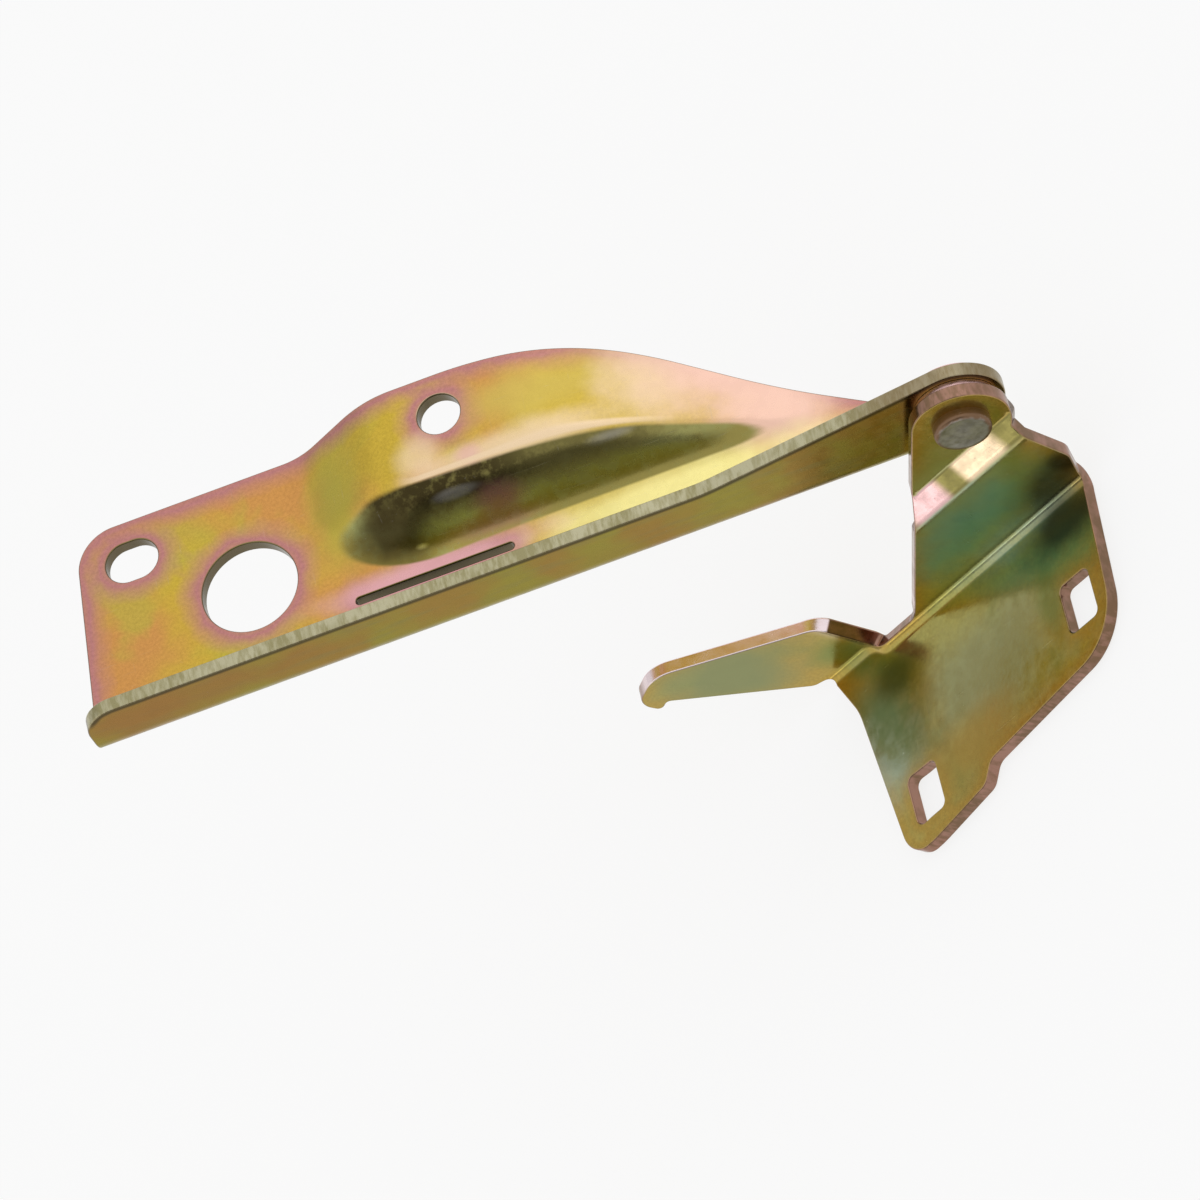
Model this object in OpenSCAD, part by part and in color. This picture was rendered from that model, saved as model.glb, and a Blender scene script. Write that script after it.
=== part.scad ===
// Bonnet hinge: a pressed steel arm that swings on a riveted pivot above a pressed body bracket.
// Origin: midway between the two body bolt slots, on the underside of the bracket's flange.
// +Z stands off the body panel, +Y runs along the pivot, +X points from the arm's tip to the pivot.

/* [Sheet] */
// Thickness of both pressed sheets
sheet_t = 3; // [2.5:0.1:3.5]
// Inner radius of the folds
fold_r = 2; // [1.5:0.1:3]

/* [Pivot] */
// Pivot axis ahead of the origin
pivot_x = 37.8; // [36:0.1:42]
// Pivot axis above the body panel
pivot_h = 35.7; // [34:0.1:40]
// Front face of the bracket's eye behind the origin
eye_y = 32.1; // [30:0.1:36]
// Radius of the eye on the arm and on the bracket
eye_r = 10; // [9:0.1:11]
// Angle of the arm above the bracket's flange
arm_angle = 33; // [5:1:75]

/* [Rivet and washers] */
// Diameter of the rivet's shank
shank_d = 8; // [6:0.1:9]
// Diameter of the flat front head
head_d = 11.7; // [11:0.1:13]
// Height of the flat front head
head_h = 2.2; // [1.5:0.1:3]
// Diameter of the domed rear head
tail_d = 12.4; // [11:0.1:14]
// Height of the domed rear head
tail_h = 2.6; // [1.5:0.1:4]
// Outer diameter of the spacer washer between the eyes
spacer_d = 17; // [14:0.1:18]
// Thickness of the spacer washer
spacer_t = 1.8; // [1:0.1:3]
// Outer diameter of the washer under the rear head
backing_d = 16; // [14.5:0.1:18]
// Thickness of the washer under the rear head
backing_t = 1.2; // [0.8:0.1:2]
// Running clearance on the shank's radius
shank_gap = 0.05; // [0.02:0.01:0.1]
// Running clearance beside the arm's eye
face_gap = 0.1; // [0.05:0.01:0.3]

/* [Arm] */
// Pivot to the free end of the arm
arm_l = 186.2; // [180:0.1:210]
// Top edge of the web above the pivot axis
web_top = 0.8; // [0:0.1:4]
// Underside of the plate below the pivot axis
plate_drop = 14.3; // [13:0.1:15.5]
// Pivot to the place where the web starts to widen towards the eye
web_rise_x = 53; // [40:0.5:65]
// Pivot to the end of the fold
fold_end_x = 12; // [11:0.5:20]
// Width of the plate from the web's outer face
plate_w = 49.5; // [48:0.1:55]
// Slant of the plate's free end
end_slant = 4.2; // [0:0.1:7]
// Radius of the plate's free corner
end_corner_r = 9; // [5:0.1:12]
// Radius of the web's free corner
web_corner_r = 7; // [2:0.1:8]
// Width left of the taper where the fold ends
taper_foot = 11.5; // [9:0.1:15]
// Angle of the tapered edge to the arm
taper_angle = 31.3; // [26:0.1:34]
// Radius that leads the far edge into the taper
taper_r = 92; // [60:1:120]

/* [Raised seat] */
// Height of the raised seat above the plate
seat_h = 11.4; // [8:0.1:12]
// Web's outer face to the foot of the seat's front wall
seat_wall_y = 16.4; // [15.5:0.1:18]
// Depth of the sloped front wall
seat_wall_run = 8.9; // [7:0.1:10]
// Pivot to the foot of the ramp at the free side
ramp_foot_x = 133; // [128:0.1:135]
// Length of the ramp at the free side
ramp_run = 17.5; // [15:0.5:21]
// Radius of the seat's top corner
seat_corner_r = 7; // [4:0.1:10]
// Pivot to the foot of the long slope at the pivot side
slope_foot_x = 34.3; // [30:0.1:40]
// Length of the long slope at the pivot side
slope_run = 39.6; // [34:0.1:44]
// Roundness of the seat's top edges, as a share of its height
crest_round = 0.34; // [0.2:0.01:0.5]
// Roundness of the seat's feet, as a share of its height
foot_round = 0.22; // [0.1:0.01:0.4]

/* [Arm holes] */
// Free end to the slotted bonnet bolt hole
bolt_end = 14.8; // [12:0.1:18]
// Pivot to the bonnet bolt on the raised seat
seat_bolt_x = 100.9; // [98:0.1:103]
// Plate's far edge to both bonnet bolts
bolt_margin = 9.4; // [8:0.1:11]
// Diameter of the bonnet bolt holes
bolt_d = 9; // [8:0.1:10]
// Length of the slotted bolt hole
bolt_slot_l = 11.2; // [10.5:0.1:13]
// Diameter of the large access hole
access_d = 20.2; // [16:0.1:22]
// Pivot to the access hole
access_x = 148.9; // [146:0.1:150]
// Plate's far edge to the access hole
access_margin = 25.1; // [22:0.1:28]
// Length of the relief slot beside the fold
relief_l = 33.8; // [26:0.1:38]
// Width of the relief slot
relief_w = 4; // [3:0.1:5]
// Pivot to the middle of the relief slot
relief_x = 111.5; // [108:0.1:114]

/* [Bracket] */
// Forward step from the bracket's eye to its upright wall
step_d = 3; // [2:0.1:4]
// Eye's centre to the top of that step
step_top = 6.6; // [6.6:0.1:7]
// Height of that step
step_h = 5; // [4:0.1:6]
// Inner radius of the step's two bends
step_r = 1.5; // [1:0.1:2]
// Slope of the upright wall's front edge
wall_slope = 39.9; // [36:0.1:44]
// Upright wall's rear edge behind the pivot axis
wall_rear = 4.9; // [2:0.1:6]
// Height of the notch floor above the body panel
notch_h = 3.3; // [3.2:0.1:7]
// Radius between the ear's front edge and the notch floor
notch_r = 3; // [2:0.1:9]
// Pivot axis to the finger's upright edge
finger_x = 66.3; // [64:0.1:68]
// Plan angle of the sway between upright wall and finger
sway_angle = 45; // [40:1:50]
// Height of the finger's upright edge above the body panel
finger_edge_h = 16.7; // [14:0.1:20]
// Slope of the finger's top edge
finger_slope = 39.4; // [36:0.1:44]
// Reach of the fingertip past its upright edge
finger_reach = 37; // [30:0.1:40]

/* [Flange] */
// Distance between the body bolt slots along the flange
slot_dx = 52.2; // [50:0.1:56]
// Distance between the body bolt slots across the flange
slot_dy = 12.2; // [8:0.1:13]
// Width of the body bolt slots
slot_w = 8.4; // [7:0.1:9]
// Length of the body bolt slots
slot_l = 11; // [10:0.1:12]
// Corner radius of the body bolt slots
slot_r = 1.5; // [0.5:0.1:3]
// Rear bolt slot's centre to the rear edge
rear_margin = 7.3; // [6:0.1:10]
// Rear bolt slot's centre to the front edge
front_margin = 13.3; // [10:0.1:14]
// Front bolt slot's centre to the nose of the flange
nose_margin = 11.8; // [9:0.1:13]
// Front bolt slot's centre to the side edge
side_margin = 8.4; // [7:0.1:11]
// Lead of the rear edge where it runs into the fold
rear_lead = 2; // [0:0.1:3]
// Root of the finger past the flange's side edge
root_reach = 7.8; // [5:0.1:9]

/* [Hidden] */
$fn = 96;

// Colours of the finishes
zinc_gold = [0.78, 0.62, 0.27];
zinc_green = [0.62, 0.57, 0.3];
bare_steel = [0.55, 0.54, 0.52];
washer_gold = [0.7, 0.58, 0.33];

// A cut runs this far past the faces that it opens
past = 1;
// Outer radius of the folds
fold_out = fold_r + sheet_t;
// Straight edges run this far inside the round of an eye
eye_bite = 0.05;
// Segments of a rounded corner
arc_n = 10;

// Bonnet bolts and access hole, counted from the web's outer face and from the pivot
bolt_y = plate_w - bolt_margin;
access_y = plate_w - access_margin;
slot_bolt_x = arm_l - bolt_end;
// Land between the relief slot and the foot of the seat's wall
relief_land = 3.4;

// Stack on the rivet, counted from the front face of the bracket's eye
web_front = sheet_t + spacer_t + face_gap;
web_back = web_front + sheet_t;
backing_front = web_back + face_gap;
tail_front = backing_front + backing_t;

// Unit vector of v
function unit(v) = v / norm(v);
// Points of an arc of radius r that rounds the corner b between a and c
function corner(a, b, c, r) =
    r <= 0 ? [b] :
    let (u = unit(a - b), v = unit(c - b), half = acos(u * v) / 2)
    let (centre = b + unit(u + v) * r / sin(half), start = b + u * r / tan(half) - centre)
    let (from = atan2(start.y, start.x), turn = 180 - 2 * half)
    let (way = cross(b - a, c - b) > 0 ? 1 : -1)
    [for (i = [0:arc_n]) centre + r * [cos(from + way * turn * i / arc_n), sin(from + way * turn * i / arc_n)]];
// A closed outline from [x, y, corner radius] points
function outline(p) =
    let (n = len(p), at = [for (q = p) [q.x, q.y]])
    [for (i = [0:n - 1]) each corner(at[(i + n - 1) % n], at[i], at[(i + 1) % n], p[i].z)];
// A list without points that repeat the one before
function distinct(p) = [for (i = [0:len(p) - 1]) if (i == 0 || norm(p[i] - p[max(0, i - 1)]) > 0.0001) p[i]];
// An open path from [x, y, corner radius] points
function path(p) =
    let (n = len(p), at = [for (q = p) [q.x, q.y]])
    distinct([at[0], each [for (i = [1:n - 2]) each corner(at[i - 1], at[i], at[i + 1], p[i].z)], at[n - 1]]);
// The point where a line from q touches a circle about the origin
function touch(q, r, way) =
    let (a = atan2(q.y, q.x) + way * acos(r / norm(q)))
    r * [cos(a), sin(a)];
function smooth_min(a, b, k) =
    let (h = max(0, min(1, 0.5 + 0.5 * (b - a) / k)))
    b * (1 - h) + a * h - k * h * (1 - h);
function smooth_max(a, b, k) = -smooth_min(-a, -b, k);

// A shape drawn in x and z, with its faces t apart along y
module upright(t) {
    translate([0, t, 0]) rotate([90, 0, 0]) linear_extrude(t) children();
}

// A section drawn in y and z, run from x0 to x1
module run(x0, x1) {
    translate([x0, 0, 0]) rotate([90, 0, 90]) linear_extrude(x1 - x0) children();
}

// A round-ended slot through the sheet, long along x
module slot_cut(l, w, h) {
    for (side = [-1, 1]) translate([side * (l - w) / 2, 0, 0]) cylinder(d = w, h = h, center = true);
    cube([l - w, w, h], center = true);
}

// The pivot on the front face of the bracket's eye
module at_pivot() {
    translate([pivot_x, eye_y, pivot_h]) children();
}

// The arm's own axes: pivot at the web's outer face, plate towards +y, free end towards -x
module at_arm() {
    at_pivot() rotate([0, arm_angle, 0]) translate([0, web_front, 0]) children();
}

// The seat rises from an oval foot to a round-cornered crest, and both meet along the same rays
crest_x = ramp_run - ramp_foot_x + seat_corner_r;
crest_y = seat_wall_y + seat_wall_run + seat_corner_r;
function ramp_share(x, y) =
    let (ux = max(0, crest_x - x), uy = max(0, crest_y - y), d = norm([ux, uy]))
    d < 0.001 ? 1 + seat_corner_r / seat_wall_run :
    let (foot = d / norm([ux / (ramp_run + seat_corner_r), uy / (seat_wall_run + seat_corner_r)]))
    (foot - d) / (foot - seat_corner_r);
function slope_share(x) = (-slope_foot_x - x) / slope_run;
function seat_share(x, y) =
    let (rise = smooth_min(ramp_share(x, y), slope_share(x), crest_round))
    smooth_max(smooth_min(rise, 1, crest_round), 0, foot_round);
plate_top = sheet_t - plate_drop;
function plate_point(x, y) = [x, y, plate_top + seat_h * seat_share(x, y)];
function plate_normal(x, y) =
    let (e = 0.05)
    unit(cross(plate_point(x + e, y) - plate_point(x - e, y), plate_point(x, y + e) - plate_point(x, y - e)));

// Stations of the formed plate: close together only where it bends, and a little past each bend
ramp_n = 14;
slope_n = 12;
wall_n = 12;
foot_lead = 3;
crest_lead = 9;
slope_lead = 8;
slope_tail = 6;
wall_lead = 2;
wall_tail = 6;
ramp_from = -ramp_foot_x - foot_lead;
ramp_span = foot_lead + ramp_run + crest_lead;
slope_from = -slope_foot_x - slope_run - slope_lead;
slope_span = slope_lead + slope_run + slope_tail;
wall_from = seat_wall_y - wall_lead;
wall_span = wall_lead + seat_wall_run + wall_tail;
plate_xs = [
    -arm_l - past, ramp_from - wall_lead,
    each [for (i = [0:ramp_n]) ramp_from + i * ramp_span / ramp_n],
    slope_from - slope_tail,
    each [for (i = [0:slope_n]) slope_from + i * slope_span / slope_n],
    -fold_end_x + past
];
plate_ys = [
    fold_out, wall_from - wall_lead,
    each [for (i = [0:wall_n]) wall_from + i * wall_span / wall_n],
    crest_y + wall_lead, bolt_y + bolt_d / 2, plate_w + past
];

// A pressed sheet between two grids of points, each with n points a row
module formed_sheet(upper, lower, n) {
    m = len(upper);
    rows = m / n;
    function at(i, j) = i * n + j;
    rim = [
        each [for (i = [0:rows - 2]) at(i, 0)],
        each [for (j = [0:n - 2]) at(rows - 1, j)],
        each [for (i = [rows - 1:-1:1]) at(i, n - 1)],
        each [for (j = [n - 1:-1:1]) at(0, j)]
    ];
    faces = [
        for (i = [0:rows - 2]) for (j = [0:n - 2]) each [
            [at(i, j), at(i + 1, j + 1), at(i + 1, j)],
            [at(i, j), at(i, j + 1), at(i + 1, j + 1)],
            [m + at(i, j), m + at(i + 1, j), m + at(i + 1, j + 1)],
            [m + at(i, j), m + at(i + 1, j + 1), m + at(i, j + 1)]
        ],
        for (k = [0:len(rim) - 1])
            let (a = rim[k], b = rim[(k + 1) % len(rim)])
            each [[a, b, m + b], [a, m + b, m + a]]
    ];
    polyhedron(points = concat(upper, lower), faces = faces);
}

// The plate with its raised seat, a sheet of even thickness
module formed_plate() {
    formed_sheet(
        [for (x = plate_xs) for (y = plate_ys) plate_point(x, y)],
        [for (x = plate_xs) for (y = plate_ys) plate_point(x, y) - sheet_t * plate_normal(x, y)],
        len(plate_ys)
    );
}

// Corner where the taper ends, and the bend in the web's top edge
taper_corner_r = 3;
web_knee_r = 30;
// Plan outline of the plate and the fold
plate_outline = outline([
    [-arm_l, 0, 0],
    [-fold_end_x, 0, 0],
    [-fold_end_x, taper_foot, taper_corner_r],
    [-fold_end_x - (plate_w - taper_foot) / tan(taper_angle), plate_w, taper_r],
    [end_slant - arm_l, plate_w, end_corner_r]
]);

// Side outline of the web, above the fold, with the eye
web_knee = [-web_rise_x, web_top];
fold_toe = [-fold_end_x, -plate_drop];
module web_shape() {
    crown = touch(web_knee, eye_r - eye_bite, -1);
    keel = touch(fold_toe, eye_r - eye_bite, 1);
    polygon(outline([
        [-arm_l, fold_out - plate_drop, 0],
        [fold_toe.x, fold_out - plate_drop, 0],
        [fold_toe.x, fold_toe.y, 0],
        [keel.x, keel.y, 0],
        [0, 0, 0],
        [crown.x, crown.y, 0],
        [web_knee.x, web_knee.y, web_knee_r],
        [-arm_l, web_top, web_corner_r]
    ]));
    circle(eye_r);
}

// Section of the fold between web and plate
module fold_section() {
    translate([fold_out, fold_out - plate_drop]) intersection() {
        difference() {
            circle(fold_out);
            circle(fold_r);
        }
        translate([-fold_out, -fold_out]) square(fold_out);
    }
}

// Arm that carries the bonnet: one pressing with a stiffening web and a raised bolt seat
module bonnet_arm() {
    deep = 4 * (seat_h + plate_drop);
    color(zinc_gold) at_arm() difference() {
        union() {
            upright(sheet_t) web_shape();
            intersection() {
                union() {
                    run(-arm_l, -fold_end_x) fold_section();
                    formed_plate();
                }
                translate([0, 0, -deep / 2]) linear_extrude(deep) polygon(plate_outline);
            }
        }
        rotate([-90, 0, 0]) cylinder(d = shank_d + 2 * shank_gap, h = 4 * sheet_t, center = true);
        translate([-seat_bolt_x, bolt_y, 0]) cylinder(d = bolt_d, h = deep, center = true);
        translate([-slot_bolt_x, bolt_y, 0]) slot_cut(bolt_slot_l, bolt_d, deep);
        translate([-access_x, access_y, 0]) cylinder(d = access_d, h = deep, center = true);
        translate([-relief_x, seat_wall_y - relief_land - relief_w / 2, 0]) slot_cut(relief_l, relief_w, deep);
    }
}

// The bracket's upright sheet, in x from the pivot and z from the body panel
wall_foot_x = -eye_r * sin(wall_slope) - (pivot_h + eye_r * cos(wall_slope) - notch_h) / tan(wall_slope);
rear_edge_x = slot_dx / 2 + rear_margin - pivot_x;
rear_fold_x = rear_edge_x + rear_lead;
flange_side_x = -slot_dx / 2 - side_margin - pivot_x;
root_x = flange_side_x - root_reach;
tip_x = -finger_x - finger_reach;
// Fingertip: its rounded top, the drops of its blunt end and of its hook, and how far the hook reaches back
tip_top = 9;
tip_drop = 3.6;
tip_depth = 9.6;
tip_back = 0.5;
tip_hook = 3.4;
hook_rise = 1;
tip_z = finger_edge_h + (finger_reach - tip_top) * tan(finger_slope);
// Corner radii of the fingertip, from its top round to its hook
tip_rs = [7, 4.5, 1.2, 1];
// Waist of the ear's rear edge, its swell above the fold and both their radii
waist_in = 1.6;
waist_h = 11;
waist_r = 5;
swell = 1.6;
swell_r = 3;
// The finger's underside where it runs into its root, and its upright edge's corners
root_run = 4;
root_h = fold_out;
root_drop = 1.8;
root_r = 3;
edge_rs = [1.5, 1];
upright_outline = outline([
    [rear_fold_x, -past, 0],
    [rear_fold_x + swell, fold_out, swell_r],
    [wall_rear - waist_in, waist_h, waist_r],
    [wall_rear, pivot_h - eye_r, 0],
    [0, pivot_h, 0],
    [-eye_r * sin(wall_slope), pivot_h + eye_r * cos(wall_slope), 0],
    [wall_foot_x, notch_h, notch_r],
    [-finger_x, notch_h, edge_rs[0]],
    [-finger_x, finger_edge_h, edge_rs[1]],
    [tip_x + tip_top, tip_z, tip_rs[0]],
    [tip_x, tip_z - tip_drop, tip_rs[1]],
    [tip_x + tip_back, tip_z - tip_depth, tip_rs[2]],
    [tip_x + tip_hook, tip_z - tip_depth + hook_rise, tip_rs[3]],
    [root_x - root_run, root_h, root_r],
    [root_x, root_h - root_drop, root_r],
    [root_x, -past, 0]
]);
module upright_shape() {
    polygon(upright_outline);
    translate([0, pivot_h]) circle(eye_r);
}

// The front faces of upright wall and finger along y, counted from the eye's front face
wall_front = -step_d;
finger_front = 0;
// The sway that leads the wall back to the finger, two arcs in plan
sway_r = (finger_front - wall_front) / 2 / (1 - cos(sway_angle));
sway_run = 2 * sway_r * sin(sway_angle);
sway_x1 = sway_run / 2 - finger_x;
sway_x0 = sway_x1 - sway_run;
sway_steps = 6;
// Turn of the sheet in plan at x, and how much of the step is left there
function sway_turn(x) =
    x >= sway_x1 || x <= sway_x0 ? 0 :
    asin(min(sway_x1 - x, x - sway_x0) / sway_r);
function sway_share(x) =
    let (bow = sway_r * (1 - cos(sway_turn(x))) / (finger_front - wall_front))
    x > -finger_x ? 1 - bow : bow;

// Front face of the ear in y and z, from the fold past the step to the top
ear_face = path([
    [wall_front, fold_out, 0],
    [wall_front, pivot_h - step_top - step_h, step_r + sheet_t],
    [finger_front, pivot_h - step_top, step_r],
    [finger_front, pivot_h + eye_r + past, 0]
]);
// Plan outline of the flange, counted from the pivot's plane
flange_front_y = slot_dy / 2 - front_margin - eye_y;
flange_nose_y = -slot_dy / 2 - nose_margin - eye_y;
fold_line = wall_front - fold_r;
// Stations of the bracket's sheet: along x, and from the flange's front up to the eye
fold_steps = 8;
bracket_xs = [
    tip_x - past,
    each [for (i = [0:sway_steps]) sway_x0 + sway_r * sin(sway_angle * i / sway_steps)],
    each [for (i = [sway_steps - 1:-1:0]) sway_x1 - sway_r * sin(sway_angle * i / sway_steps)],
    eye_r + past
];
bracket_rows = 1 + fold_steps + len(ear_face);
// Point k of the sheet's front face at x, and the face's slope in plan there
function bracket_shift(k) = k <= fold_steps ? wall_front : ear_face[k - fold_steps - 1].x;
function bracket_point(x, k) =
    let (y = finger_front + bracket_shift(k) * sway_share(x), a = 90 * (k - 1) / fold_steps)
    k == 0 ? [x, flange_nose_y - past, sheet_t] :
    k <= fold_steps ? [x, y - fold_r + fold_r * sin(a), fold_out - fold_r * cos(a)] :
    [x, y, ear_face[k - fold_steps - 1].y];
function bracket_slope(x, k) = bracket_shift(k) / (finger_front - wall_front) * tan(sway_turn(x));
// Step from the front face to the back face, square to both facets that meet at the point
function bracket_depth(x, k) =
    let (along = [1, bracket_slope(x, k), 0], p = bracket_point(x, k))
    let (lower = k == 0 ? undef : unit(cross(along, p - bracket_point(x, k - 1))))
    let (upper = k == bracket_rows - 1 ? lower : unit(cross(along, bracket_point(x, k + 1) - p)))
    let (first = k == 0 ? upper : lower)
    sheet_t * (first + upper) / (1 + first * upper);
module bracket_sheet() {
    formed_sheet(
        [for (x = bracket_xs) for (k = [0:bracket_rows - 1]) bracket_point(x, k)],
        [for (x = bracket_xs) for (k = [0:bracket_rows - 1]) bracket_point(x, k) - bracket_depth(x, k)],
        bracket_rows
    );
}

// Step in the flange's front edge: its end along x, its run and both its depths
nose_step_x = -48;
nose_step_run = 3;
nose_step_y = 3.2;
nose_step_depth = 4;
// Slant of the front edge towards the rear corner, and the side edge's bend into the finger's root
front_lead = 1;
root_bend_x = 4;
root_bend_y = 6;
// Corner radii of the flange: rear corner, step, nose and bend
rear_corner_r = 13;
step_corner_r = 3;
nose_r = 6.5;
root_bend_r = 14;
// The flange's cutter laps this far into the fold
fold_lap = 0.5;
module flange_shape() {
    polygon(outline([
        [rear_fold_x, fold_line + fold_lap, 0],
        [rear_edge_x, flange_front_y + front_lead, rear_corner_r],
        [nose_step_x + nose_step_run, flange_front_y - nose_step_y, step_corner_r],
        [nose_step_x, flange_front_y - nose_step_y - nose_step_depth, step_corner_r],
        [flange_side_x, flange_nose_y, nose_r],
        [root_x + root_bend_x, fold_line - root_bend_y, root_bend_r],
        [root_x, fold_line, 0],
        [root_x, fold_line + fold_lap, 0]
    ]));
}

// A round-cornered body bolt slot
module body_slot() {
    h = 4 * sheet_t;
    cube([slot_w, slot_l - 2 * slot_r, h], center = true);
    cube([slot_w - 2 * slot_r, slot_l, h], center = true);
    for (sx = [-1, 1], sy = [-1, 1])
        translate([sx * (slot_w / 2 - slot_r), sy * (slot_l / 2 - slot_r), 0])
            cylinder(r = slot_r, h = h, center = true);
}

// Bracket on the body: flange with two bolt slots, stepped ear for the pivot and upright finger
module body_bracket() {
    color(zinc_green) difference() {
        translate([pivot_x, eye_y, 0]) intersection() {
            bracket_sheet();
            union() {
                translate([0, 0, -past]) linear_extrude(sheet_t + 2 * past) flange_shape();
                translate([0, fold_line, 0]) upright(sheet_t + past - fold_line) upright_shape();
            }
        }
        at_pivot() rotate([-90, 0, 0]) cylinder(d = shank_d, h = 4 * sheet_t, center = true);
        for (side = [-1, 1]) translate([side * slot_dx / 2, side * slot_dy / 2, 0]) body_slot();
    }
}

// Rivet: flat front head, shank through both eyes and domed rear head
module pivot_rivet() {
    edge = 0.6;
    rim = 0.5;
    dome = [for (a = [0:9:90]) [tail_d / 2 * cos(a), tail_front + rim + (tail_h - rim) * sin(a)]];
    color(bare_steel) at_pivot() rotate([-90, 0, 0]) rotate_extrude() polygon([
        [0, -head_h],
        [head_d / 2 - edge, -head_h],
        [head_d / 2, edge - head_h],
        [head_d / 2, 0],
        [shank_d / 2, 0],
        [shank_d / 2, tail_front],
        [tail_d / 2, tail_front],
        each dome
    ]);
}

// A plain washer on the rivet's shank
module washer(d, t) {
    rotate([-90, 0, 0]) difference() {
        cylinder(d = d, h = t);
        translate([0, 0, -past]) cylinder(d = shank_d + 2 * shank_gap, h = t + 2 * past);
    }
}

// Washer that keeps the arm's web clear of the bracket's eye
module spacer_washer() {
    color(washer_gold) at_pivot() translate([0, sheet_t, 0]) washer(spacer_d, spacer_t);
}

// Washer under the rear head
module backing_washer() {
    color(washer_gold) at_pivot() translate([0, backing_front, 0]) washer(backing_d, backing_t);
}

bonnet_arm();
body_bracket();
pivot_rivet();
spacer_washer();
backing_washer();
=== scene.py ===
import math
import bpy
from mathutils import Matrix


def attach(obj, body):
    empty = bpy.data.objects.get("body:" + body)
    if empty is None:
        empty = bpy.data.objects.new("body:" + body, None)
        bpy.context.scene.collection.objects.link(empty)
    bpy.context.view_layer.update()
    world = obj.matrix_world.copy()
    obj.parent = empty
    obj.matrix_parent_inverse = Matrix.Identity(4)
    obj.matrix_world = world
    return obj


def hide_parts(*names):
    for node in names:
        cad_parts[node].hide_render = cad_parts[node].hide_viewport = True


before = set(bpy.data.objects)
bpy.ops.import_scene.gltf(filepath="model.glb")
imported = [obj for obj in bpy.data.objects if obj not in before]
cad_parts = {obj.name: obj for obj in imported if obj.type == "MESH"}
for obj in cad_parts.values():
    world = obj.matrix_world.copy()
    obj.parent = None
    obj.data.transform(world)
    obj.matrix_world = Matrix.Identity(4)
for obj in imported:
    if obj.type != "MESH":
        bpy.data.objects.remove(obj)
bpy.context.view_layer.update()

from types import SimpleNamespace

import bmesh
import bpy
import numpy as np
from bpy.props import FloatProperty, FloatVectorProperty, PointerProperty
from bpy.types import Operator, Panel, PropertyGroup
from mathutils import Matrix, Vector
from mathutils.geometry import delaunay_2d_cdt

bl_info = {
    "name": "Bonnet hinge",
    "version": (1, 0, 0),
    "blender": (4, 5, 0),
    "location": "View3D > Sidebar > Hinge",
    "description": "Dresses a pressed, zinc plated bonnet hinge around its solids",
    "category": "Object",
}

MM = 0.001
SPACING = 0.7  # longest step along an outline, in millimetres
ARC_GAIN = 1.6  # how much closer points lie on an arc


def length(label, words, millimetres):
    """A length that a user may change, kept in metres."""
    return FloatProperty(name=label, description=words, default=millimetres * MM, unit="LENGTH",
                         precision=5)


def angle(label, words, degrees):
    """An angle that a user may change."""
    return FloatProperty(name=label, description=words, default=math.radians(degrees),
                         subtype="ANGLE")


def share(label, words, value):
    """A plain number that a user may change."""
    return FloatProperty(name=label, description=words, default=value, subtype="FACTOR",
                         soft_min=0, soft_max=2)


def power(label, words, watts):
    """A lamp's power that a user may change."""
    return FloatProperty(name=label, description=words, default=watts, unit="POWER", min=0)


def tint(label, words, rgb):
    """A colour that a user may change."""
    return FloatVectorProperty(name=label, description=words, default=rgb, size=3,
                               subtype="COLOR", min=0, max=1)


class HingeSheetSettings(PropertyGroup):
    """What both pressings share"""
    sheet: length("Sheet", "Thickness of both pressed sheets", 3)
    fold: length("Fold", "Inner radius of the folds", 2)
    edge: length("Edge round", "Round of the sheared edges", 0.35)
    pivot_x: length("Pivot ahead", "Pivot axis ahead of the origin", 37.8)
    pivot_y: length("Eye behind", "Front face of the bracket's eye behind the origin", 32.1)
    pivot_z: length("Pivot height", "Pivot axis above the body panel", 35.7)
    eye: length("Eye", "Radius of both eyes", 10)
    shank: length("Shank", "Radius of the rivet's shank", 4)


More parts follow.
